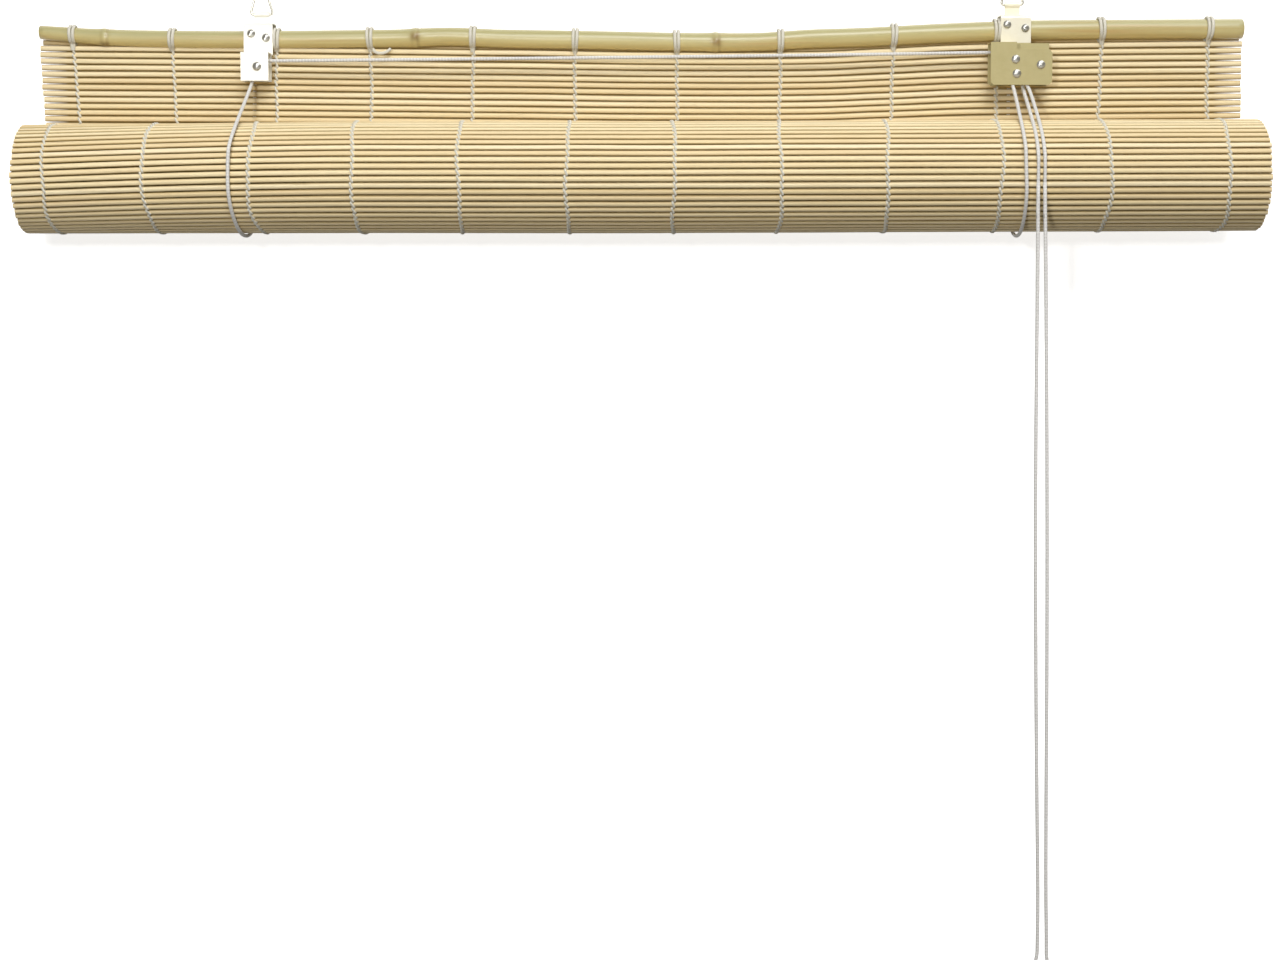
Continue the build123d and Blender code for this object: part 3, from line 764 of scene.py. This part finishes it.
cx, cy, cz = hank["place"]
tieCord = tubeAlong("hankTie", routeLine(metres(tieRoute())), radius, sides, cordMaterial)
keep(tieCord, "headrail", "cord")
knotAt = Vector((cx, cy, -728.4)) * mm
endKnot = tubeAlong("endKnot", knotLine(knotAt, 3.3 * mm, 1.7 * mm), 1.45 * mm, sides, cordMaterial)
keep(endKnot, "headrail", "cord", "end_knot")

for side, sign in (("rear", 1), ("front", -1)):
    route = pullRoutes[side] + hankTurns(sign) + pullTail(sign)
    line = routeLine(metres(route))
    pull = tubeAlong(f"pullCord_{side}", line, radius, sides, cordMaterial)
    keep(pull, "headrail", "cord", f"pull_cord_{side}", "cord_hank")
    length = lineLength(line)
    print(f"pull cord {side}: {length:.3f} m")
    tuple(c * mm for c in route[0])
print("cords made")

# knots of the lift cords on their lugs
knotPlaces = [Vector((-258.0, -3.5, -48.9)) * mm, Vector((246.0, -3.5, -43.5)) * mm]
knotParts = []
for place in knotPlaces:
    knot = knotLine(place, 1.75 * mm, 1.1 * mm)
    knotParts.append(tubeAlong("part", knot, 0.95 * mm, 10, cordMaterial))
with bpy.context.temp_override(active_object=knotParts[0], selected_editable_objects=knotParts):
    bpy.ops.object.join()
liftKnots = knotParts[0]
liftKnots.name = "liftKnots"
keep(liftKnots, "headrail", "cord", "lift_knots")


# slats
def slatTree(name, roll):
    numbers = {
        "Rows": 20,
        "First row": 0,
        "Length": 0.8,
        "Width": 0.0,
        "Thickness": 0.0,
        "Sides": 12,
        "Segments": 40,
        "Wander": 0.0,
        "Bow": 0.0,
        "Ends": 0.0,
        "Seed": 3,
        "Finish": slatMaterial,
    }

    def build(tree, entry, value):
        line = tree.node("GeometryNodeMeshLine", None, {"Count": value["Rows"], "Offset": (0, 0, 0)})
        row = tree.node("GeometryNodeInputIndex") + value["First row"]
        if roll:
            run = (row + mat["rollStart"]) * mat["pitch"]
            outer = mat["outerRadius"]
            inside = (outer**2 - run * (mat["turnPitch"] / math.pi)).of("SQRT")
            turn = (outer - inside) * (2 * math.pi / mat["turnPitch"])
            reach = outer - turn * (mat["turnPitch"] / (2 * math.pi))
            cosine, sine = turn.of("COSINE"), turn.of("SINE")
            place = tree.combine(0.0, cosine * reach + rollY, rollZ - sine * reach)
            angle = 0 - turn
        else:
            place = tree.combine(0.0, poleY, levelZ - row * mat["pitch"])
            angle = row * 0.0
        points = tree.node("GeometryNodeSetPosition", None, {0: line, "Position": place})
        points = tree.store(points, "angle", angle)
        half = value["Length"] * 0.5
        ends = {0: tree.combine(0 - half), 1: tree.combine(half)}
        spine = tree.node("GeometryNodeCurvePrimitiveLine", None, ends)
        spine = tree.node("GeometryNodeResampleCurve", None, {0: spine, "Count": value["Segments"] + 1})
        outline = tree.node("GeometryNodeCurvePrimitiveCircle", None, {0: value["Sides"], "Radius": 0.5})
        section = tree.combine(value["Thickness"], value["Width"], 1.0)
        outline = tree.node("GeometryNodeTransform", None, {0: outline, "Scale": section})
        slat = tree.node("GeometryNodeCurveToMesh", None, {0: spine, 1: outline, "Fill Caps": True})
        # how far across the slat a point lies; the finish paints the gaps' shade along the long edges from it
        across = tree.split(tree.node("GeometryNodeInputPosition"))[2]
        upright = tree.store(slat, "edge", across.of("ABSOLUTE") / (value["Width"] * 0.5))
        copies = tree.node(
            "GeometryNodeInstanceOnPoints",
            None,
            {0: points, "Instance": upright, "Rotation": tree.combine(angle, 0.0, 0.0)},
        )
        chance = tree.node(
            "FunctionNodeRandomValue", {"data_type": "FLOAT"}, {2: 0.0, 3: 1.0, 7: row, 8: value["Seed"]}, 1
        )
        copies = tree.store(copies, "row", row, "INSTANCE")
        copies = tree.store(copies, "shade", chance, "INSTANCE")
        real = tree.node("GeometryNodeRealizeInstances", None, {0: copies})
        x = tree.split(tree.node("GeometryNodeInputPosition"))[0]
        rowHere, angleHere = tree.stored("row"), tree.stored("angle")

        def uneven(perMetre, perRow, depth, detail):
            return tree.noise(tree.combine(x * perMetre, rowHere * perRow, depth), detail) - 0.5

        # each slat wanders a little along the mat and bows a little out of it
        slow = uneven(7.0, 0.31, value["Seed"] * 1.7, 1.0)
        quick = uneven(11.0, 4.7, value["Seed"] * 3.1, 2.0)
        shift = (slow * 1.4 + quick) * value["Wander"]
        bow = uneven(9.0, 5.3, 7.7, 1.0) * value["Bow"]
        endShift = (tree.noise(tree.combine(rowHere * 7.13, 0.4, 0.7), 0.0) - 0.5) * value["Ends"]
        if roll:
            cosine, sine = angleHere.of("COSINE"), angleHere.of("SINE")
            lag = ((mat["skewFrom"] - x) / (mat["length"] / 2 + mat["skewFrom"])).clamp(0, 1)
            shift = shift + lag * lag * (angleHere / -mat["skewTurn"]).clamp(0, 1) * mat["skew"]
            bow = bow - lag * mat["tighter"]
            rise = x.clamp(0, mat["length"]) * (mat["tilt"] / (mat["length"] / 2)) - lag * mat["tighter"]
            offset = tree.combine(endShift, bow * cosine - shift * sine, shift * cosine + bow * sine + rise)
        else:
            stops = [(p / mat["length"] + 0.5, (z - levelZ) / sagScale + 0.5) for p, z in topLine]
            share = x / mat["length"] + 0.5
            shape = tree.node("ShaderNodeFloatCurve", {"curvePoints": stops}, {"Value": share})
            lastRow = mat["hangingRows"] - 1
            fade = 1 - rowHere * (0.5 / lastRow)
            drawnIn = rowHere * (0.5 - x / mat["length"]) * (mat["taper"] / lastRow)
            behind = (rowHere < -0.5) * mat["behindPole"]
            sideways = ((mat["riseFrom"] - x) / mat["riseOver"]).clamp(0, 1)
            shift = shift + sideways * (mat["riseTop"] - rowHere * mat["risePerRow"])
            offset = tree.combine(endShift + drawnIn, bow + behind, shift + (shape - 0.5) * sagScale * fade)
        moved = tree.node("GeometryNodeSetPosition", None, {0: real, "Offset": offset})
        flat = tree.split(tree.node("GeometryNodeInputNormal"))[0]
        sideFace = flat.of("ABSOLUTE") < 0.7
        return tree.node("GeometryNodeSetShadeSmooth", None, {0: moved, "Shade Smooth": sideFace})

    return geometryTree(name, numbers, build), numbers


def slatPiece(name, roll, **sizes):
    raw, numbers = slatTree(name, roll)
    numbers |= {"Length": mat["length"], "Width": mat["width"], "Thickness": mat["thickness"]} | sizes
    return grown(name, meshObject(name + "Base", [(0, 0, 0)], []), raw, numbers)


# the roll's outer turn is in full detail, and what lies inside it shows only at the ends
rows, outerRows, innerRows = mat["hangingRows"] + 1, 58, 307
uneven = {"Segments": 64, "Bow": 0.5 * mm, "Ends": 1.6 * mm}
hangingSlats = uneven | {"Rows": rows, "First row": -1, "Wander": 0.45 * mm, "Ends": 1.4 * mm}
outerSlats = uneven | {"Rows": outerRows, "Wander": 0.42 * mm, "Seed": 5}
innerSlats = {"Rows": innerRows, "First row": outerRows, "Segments": 4, "Ends": 1.6 * mm, "Seed": 5}
hanging = slatPiece("hangingSlats", False, **hangingSlats)
keep(hanging, "headrail", "bamboo_slat", *railNodes)
wound = slatPiece("woundSlatsOuter", True, **outerSlats)
keep(wound, "roll", "bamboo_slat", "rolled_mat")
inner = slatPiece("woundSlatsInner", True, **innerSlats)
keep(inner, "roll", "bamboo_slat", "rolled_mat")
print("slats made")

# warp threads
warp = {
    "strand": 0.78 * mm,
    "loopStrand": 1.08 * mm,
    "sides": 6,
    "stepsPerRow": 8,
    "depth": 1.3 * mm,
    "spread": 0.72 * mm,
    "loopSpread": 0.45 * mm,
    # how far each thread has moved sideways at the last hanging slat
    "leans": (6.0, 4.2, -1.6, 0.3, -0.4, 0.5, -0.3, -0.8, -1.6, 0.4, -2.2, 1.0),
    "swing": 4.5 * mm,  # sideways run of the left threads, which fades out towards the roll's underside
    "swingEnd": 2.67,  # the turn where it has faded out, in radians
    "swingOver": 1.1,
    "settleRows": 12,  # rows that a thread takes to reach its own line on the roll
    "drift": 1.2 * mm,
    "rollPlaces": (-380, -316, -249, -184, -116, -47, 21, 89, 157, 229, 298, 374),
    "loopStart": -68,  # a loop's first and whole angle round the pole, in degrees
    "loopSweep": 316,
    "loopPoints": 22,
}


def twineTree():
    numbers = {
        "Rows": 19.0,
        "Points": 160,
        "Depth": 0.0,
        "Spread": 0.0,
        "Strand": 0.0,
        "Sides": 6,
        "Finish": threadMaterial,
    }

    def build(tree, entry, value):
        line = tree.node("GeometryNodeMeshToCurve", None, {0: entry})
        line = tree.node("GeometryNodeResampleCurve", None, {0: line, "Count": value["Points"]})
        factor = tree.node("GeometryNodeSplineParameter")
        tangent = tree.node("GeometryNodeInputTangent")
        normal = tree.vectorMath("NORMALIZE", tree.vectorMath("CROSS_PRODUCT", tangent, (1, 0, 0)))
        phase = factor * value["Rows"] * math.pi
        over = (phase.of("COSINE") * 2.4).clamp(-1, 1)
        beside = phase.of("SINE")
        ringOf = {0: value["Sides"], "Radius": value["Strand"]}
        profile = tree.node("GeometryNodeCurvePrimitiveCircle", None, ringOf)
        strands = []
        for sign in (1, -1):
            out = tree.vectorMath("MULTIPLY", normal, tree.combine(*[over * value["Depth"] * sign] * 3))
            aside = tree.combine(beside * value["Spread"] * sign)
            offset = tree.vectorMath("ADD", out, aside)
            moved = tree.node("GeometryNodeSetPosition", None, {0: line, "Offset": offset})
            tube = {0: moved, 1: profile, "Fill Caps": True}
            strands.append(tree.node("GeometryNodeCurveToMesh", None, tube))
        both = tree.node("GeometryNodeJoinGeometry")
        for strand in strands:
            tree.raw.links.new(strand.socket, both.socket.node.inputs[0])
        return tree.node("GeometryNodeSetShadeSmooth", None, {0: both, "Shade Smooth": True})

    return geometryTree("twine", numbers, build), numbers


twine, twineNumbers = twineTree()


def polylines(name, lines):
    verts, edges = [], []
    for line in lines:
        start = len(verts)
        verts += line
        edges += [(start + k, start + k + 1) for k in range(len(line) - 1)]
    return meshObject(name, verts, [], edges)


def twined(name, lines, rows):
    numbers = twineNumbers | {
        "Rows": float(rows),
        "Points": int(rows * warp["stepsPerRow"]) + 1,
        "Depth": warp["depth"],
        "Spread": warp["spread"],
        "Strand": warp["strand"],
        "Sides": warp["sides"],
    }
    return grown(name, polylines(name + "Base", lines), twine, numbers)


hangingXs = []
for node in warpNodes:
    low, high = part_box(node)
    hangingXs.append((low.x + high.x) / 2)


def drift(seed, t, size):
    # a slow sideways wander
    return size * (math.sin(2.1 * t + seed * 1.9) + 0.6 * math.sin(4.7 * t + seed * 3.3)) / 1.6


lines = []
lastRow = mat["hangingRows"] - 1
for number, (x, lean) in enumerate(zip(hangingXs, warp["leans"])):
    line = []
    for row in range(mat["hangingRows"]):
        aside = lean * mm * row / lastRow + drift(number, row / 6, 0.5 * mm)
        line.append((x + aside, poleY, rowZ(row, x)))
    lines.append(line)
hangingTwine = twined("hangingWarps", lines, lastRow)

outer, turnPitch = mat["outerRadius"], mat["turnPitch"]


def turnAt(row):
    run = (row + mat["rollStart"]) * mat["pitch"]
    return (outer - math.sqrt(outer**2 - run * turnPitch / math.pi)) * 2 * math.pi / turnPitch


def rollPlace(turn, x):
    lag = min(1.0, max(0.0, (mat["skewFrom"] - x) / (mat["length"] / 2 + mat["skewFrom"])))
    reach = outer - turn * turnPitch / (2 * math.pi) - lag * mat["tighter"]
    shift = lag**2 * min(1.0, turn / mat["skewTurn"]) * mat["skew"]
    rise = max(0, x) * mat["tilt"] / (mat["length"] / 2) - lag * mat["tighter"]
    y = rollY + reach * math.cos(turn) + shift * math.sin(turn)
    return (x, y, rollZ - reach * math.sin(turn) + shift * math.cos(turn) + rise)


lines = []
turnRows = 56
for number, (top, lean, x) in enumerate(zip(hangingXs, warp["leans"], warp["rollPlaces"])):
    line = []
    start = top + lean * mm
    for row in range(turnRows):
        # the thread runs from the hanging mat's line to its own line on the roll's front
        turn = turnAt(row)
        blendIn = min(1.0, row / warp["settleRows"])
        under = min(1.0, max(0.0, (warp["swingEnd"] - turn) / warp["swingOver"])) * warp["swing"] * (x < -150)
        place = start + (x * mm + under + drift(number + 20, row / 7, warp["drift"]) - start) * blendIn
        line.append(rollPlace(turn, place))
    lines.append(line)
rollTwine = twined("woundWarps", lines, turnRows - 1)
keep(rollTwine, "roll", "warp_thread")

# loops that hold the mat to the head pole: two strands side by side over the pole, closing below it
loopLines = []
for number, x in enumerate(hangingXs):
    lean = drift(number + 5, 1.0, 0.8 * mm)
    top = rowZ(0, x)
    for sign in (1, -1):
        r = poleR(x) + warp["loopStrand"] * 0.9
        line = []
        for k in range(warp["loopPoints"] + 1):
            share = k / warp["loopPoints"]
            turn = math.radians(warp["loopStart"] + warp["loopSweep"] * share)
            lift = math.sin(math.pi * share)
            line.append(
                (
                    x + lean * lift + sign * (0.85 * mm + warp["loopSpread"] * lift**0.6),
                    poleY - r * math.cos(turn),
                    poleZ(x) + r * math.sin(turn),
                )
            )
        foot = [(x + sign * 0.4 * mm, poleY - 1.3 * mm, top + 0.5 * mm)]
        heel = [(x + sign * 0.4 * mm, poleY + 1.3 * mm, top + 0.5 * mm)]
        loopLines.append(foot + line + heel)


def strandTree():
    numbers = {"Points": 60, "Strand": 0.0, "Sides": 6, "Finish": threadMaterial}

    def build(tree, entry, value):
        line = tree.node("GeometryNodeMeshToCurve", None, {0: entry})
        line = tree.node("GeometryNodeCurveSplineType", {"spline_type": "CATMULL_ROM"}, {0: line})
        line = tree.node("GeometryNodeResampleCurve", None, {0: line, "Count": value["Points"]})
        ringOf = {0: value["Sides"], "Radius": value["Strand"]}
        profile = tree.node("GeometryNodeCurvePrimitiveCircle", None, ringOf)
        tube = tree.node("GeometryNodeCurveToMesh", None, {0: line, 1: profile, "Fill Caps": True})
        return tree.node("GeometryNodeSetShadeSmooth", None, {0: tube, "Shade Smooth": True})

    return geometryTree("strand", numbers, build), numbers


strand, strandNumbers = strandTree()
# one loose tail of thread curls out below the pole
tail = [
    (-178.6, -8.6, -46.2),
    (-176.4, -11.4, -48.6),
    (-172.8, -12.6, -49.6),
    (-168.8, -12.4, -48.6),
    (-166.0, -12.0, -46.4),
]
loopLines.append([tuple(c * mm for c in p) for p in tail])
numbers = strandNumbers | {"Points": 64, "Strand": warp["loopStrand"], "Sides": 8}
poleLoops = grown("poleLoops", polylines("loopBase", loopLines), strand, numbers)
keep(hangingTwine, "headrail", "warp_thread", *warpNodes)
keep(poleLoops, "headrail", "warp_thread", *warpNodes)
print("threads made")


# head pole
def swell(rows, d):
    return sum(size * math.exp(-(((d - place) / width) ** 2)) for size, place, width in rows)


def fromKnuckle(x, share):
    return (x - share * mat["length"]) / mm


def poleRise(x):
    # what the knuckles add to the radius at x
    return mm * sum(swell(headPole["ridges"], fromKnuckle(x, share)) for share in headPole["knuckles"])


def budAt(d, turn, bud, width, aside):
    return math.exp(-((d / width) ** 2) - (math.remainder(turn - bud, 2 * math.pi) / aside) ** 2)


def scarAt(x, turn):
    # how dark the skin is at a knuckle: its thin rings and a bud's mark on one side
    dark = 0.0
    for share, bud in zip(headPole["knuckles"], headPole["budTurns"]):
        d = fromKnuckle(x, share)
        dark += swell(headPole["rings"], d) + 0.95 * budAt(d - 0.5, turn, bud, 3.2, 0.42)
    return min(1.0, dark)


def polePlaces():
    half, fine = mat["length"] / 2, headPole["fine"]
    xs = [-half + k * headPole["step"] for k in range(int(2 * half / headPole["step"]) + 1)]
    for share in headPole["knuckles"]:
        x = share * mat["length"]
        xs = [p for p in xs if abs(p - x) > fine * mm] + [x + k * mm for k in range(-fine, fine + 1)]
    return sorted(xs)


def makeHeadPole():
    sides = headPole["sides"]
    xs = polePlaces()
    verts, scars, piths, underLightShares = [], [], [], []

    def ring(x, shrink, pith):
        for s in range(sides):
            turn = 2 * math.pi * s / sides
            uneven = 1 + 0.012 * math.sin(2 * turn + x * 23) + 0.008 * math.sin(3 * turn - x * 41)
            r = (poleR(x) + poleRise(x)) * uneven - shrink
            if shrink == 0:
                for share, bud in zip(headPole["knuckles"], headPole["budTurns"]):
                    r += 0.5 * mm * budAt(fromKnuckle(x, share) - 1.5, turn, bud, 2.6, 0.4)
            verts.append((x, poleY + r * math.cos(turn), poleZ(x) + r * math.sin(turn)))
            scars.append(scarAt(x, turn) if shrink == 0 else 0.0)
            piths.append(pith)
            # how far towards the underside a point lies, where the finish paints light
            underLightShares.append(min(1.0, max(0.0, 0.35 - math.sin(turn))))

    wall, rim = headPole["wall"], headPole["rim"]
    left, right = xs[0], xs[-1]
    # an open end, from inside: how far in, how much thinner than the skin, and how pale
    end = ((headPole["hollow"], wall, 1.0), (rim, wall, 1.0), (0, wall - rim, 1.0), (0, 0.35 * mm, 0.9))
    for inset, shrink, pith in end:
        ring(left + inset, shrink, pith)
    for x in xs:
        ring(x + (0.3 * mm if x == left else -0.3 * mm if x == right else 0), 0.0, 0.0)
    for inset, shrink, pith in reversed(end):
        ring(right - inset, shrink, pith)
    faces = ringFaces(len(verts) // sides, sides)
    made = meshObject("headPole", verts, faces)
    mesh = made.data
    for label, values in (("scar", scars), ("pith", piths), ("under", underLightShares)):
        mesh.attributes.new(label, "FLOAT", "POINT").data.foreach_set("value", values)
    work = bmesh.new()
    work.from_mesh(mesh)
    bmesh.ops.recalc_face_normals(work, faces=work.faces)
    work.to_mesh(mesh)
    work.free()
    for polygon in mesh.polygons:
        polygon.use_smooth = abs(polygon.normal.x) < 0.8
    mesh.materials.append(poleMaterial)
    return made


keep(makeHeadPole(), "headrail", "bamboo_pole", "head_pole")
print("pole made")

# finishes of the nodes that stay
creamPlate = sheetFinish("creamPlate", (0.97, 0.95, 0.86), (0.93, 0.90, 0.76), 0.25, 0.1)
# the right strap's plate is painted olive gold below its fold height: painted shade and reflection
paleShadedPlate = sheetFinish(
    "paleShadedPlate", (0.96, 0.91, 0.74), (0.90, 0.84, 0.62), 0.25, 0.1, (-42.6 * mm, (0.55, 0.48, 0.23))
)
# the right cheek and the lock cam: the same plated sheet painted darker olive gold, painted shade and
# reflection
shadedPlate = sheetFinish("shadedPlate", (0.54, 0.47, 0.23), (0.47, 0.40, 0.18), 0.30, 0.2)
fastener = steelFinish("brightFastener", (0.62, 0.61, 0.56), 0.22)
wire = steelFinish("ringWire", (0.72, 0.70, 0.62), 0.25)
plastic = mouldedFinish()
finishes = {
    "strap_left": creamPlate,
    "cheek_left": creamPlate,
    "strap_right": paleShadedPlate,
    "cheek_right": shadedPlate,
    "lock_cam": shadedPlate,
    "rivet_left": fastener,
    "lock_rivets": fastener,
    "pole_screws": fastener,
    "hanger_ring_left": wire,
    "hanger_ring_right": wire,
    "pulley_left": plastic,
    "pulley_right": plastic,
    "anvil_roller": plastic,
    "bottom_pole": poleMaterial,
}
for name, material in finishes.items():
    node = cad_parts[name]
    if not node.material_slots:
        node.data.materials.append(material)
    for place in node.material_slots:
        place.material = material

# wall, floor and light
room = {
    "wallY": 6 * mm,
    "wallTop": 2.0,
    "floorZ": -0.95,
    "halfWidth": 3.0,
    "reach": 4.0,
    "wallTone": 0.9,
    "wallGlow": 0.74,
    "floorTone": 0.85,
    # the wall's patch of painted shade behind the mat: its half width, and its low and high height
    "behindMat": (0.400, -0.130, -0.0385),
    "paintedShadeTone": (0.42, 0.32, 0.16),
}


def plainSurface(name, tone, glow, shaded=None):
    # shaded is a half width, a low and a high height within which the surface doesn't glow and is painted
    # brown as painted shade
    look = Finish(name, Roughness=0.9, Base_Color=(tone, tone, tone, 1), Emission_Strength=glow)
    look.shader.inputs["Emission Color"].default_value = (1, 1, 1, 1)
    if shaded:
        half, low, high = shaded
        x, _, z = look.split(look.place)
        # painted shade: behind the mat the wall neither glows nor keeps its tone, but is painted brown
        paintedShadeMask = ((half - x.of("ABSOLUTE")) * 70).clamp(0, 1) * ((z - low) * 400).clamp(0, 1)
        paintedShadeMask = paintedShadeMask * ((high - z) * 400).clamp(0, 1)
        look.feed(
            Base_Color=look.mix(paintedShadeMask, (tone, tone, tone), room["paintedShadeTone"]),
            Emission_Color=look.mix(paintedShadeMask, (1, 1, 1), (0, 0, 0)),
        )
    # one-sided, so that the blind can be seen from behind and from below
    clear = look.node("ShaderNodeBsdfTransparent")
    back = look.node("ShaderNodeNewGeometry", None, None, "Backfacing")
    solid = Wire(look, look.shader.outputs[0])
    both = look.node("ShaderNodeMixShader", None, {0: back, 1: solid, 2: clear})
    look.raw.links.new(both.socket, look.raw.nodes["Material Output"].inputs["Surface"])
    return look.material


w, y, top, low, far = (room[key] for key in ("halfWidth", "wallY", "wallTop", "floorZ", "reach"))
wall = meshObject("wall", [(-w, y, low), (w, y, low), (w, y, top), (-w, y, top)], [(0, 1, 2, 3)])
wall.data.materials.append(plainSurface("paleWall", room["wallTone"], room["wallGlow"], room["behindMat"]))
floor = meshObject("floor", [(-w, -far, low), (w, -far, low), (w, far, low), (-w, far, low)], [(0, 1, 2, 3)])
floor.data.materials.append(plainSurface("paleFloor", room["floorTone"], 0.0))
# neither surface throws light back on the blind, and the wall lets the back light through
wall.visible_diffuse = False
wall.visible_shadow = False
floor.visible_diffuse = False


def softLight(name, place, target, size, power):
    data = bpy.data.lights.new(name, "AREA")
    data.shape = "RECTANGLE"
    data.size, data.size_y = size
    data.energy = power
    made = bpy.data.objects.new(name, data)
    made.location = place
    made.rotation_euler = (Vector(target) - Vector(place)).to_track_quat("-Z", "Y").to_euler()
    bpy.context.collection.objects.link(made)


# each light's place, what it points at, its two sides and its power
lights = {
    "key": ((0.3, -3.2, 2.5), (0.1, 0, -0.12), (1.8, 1.2), 95),
    "top": ((0.9, -0.7, 1.4), (0.2, 0, -0.1), (2.0, 0.8), 11),
    "back": ((0.4, 2.2, 1.2), (0, 0, -0.2), (2.0, 1.4), 30),
    "front": ((-0.30, -1.35, 0.07), (0.1, 0, -0.13), (0.12, 0.12), 6.0),
}
for name, settings in lights.items():
    softLight(name, *settings)
world = bpy.data.worlds.new("world")
world.use_nodes = True
sky = Tree(world.node_tree)
fill = sky.node("ShaderNodeBackground", None, {"Color": (1, 0.95, 0.85, 1), "Strength": 0.15})
backdrop = sky.node("ShaderNodeBackground", None, {"Color": (1, 1, 1, 1), "Strength": 0.85})
seen = sky.node("ShaderNodeLightPath", None, None, "Is Camera Ray")
whole = sky.node("ShaderNodeMixShader", None, {0: seen, 1: fill, 2: backdrop})
sky.raw.links.new(whole.socket, sky.raw.nodes["World Output"].inputs["Surface"])
bpy.context.scene.world = world
bpy.context.scene.view_settings.view_transform = "Standard"
print("room lit")
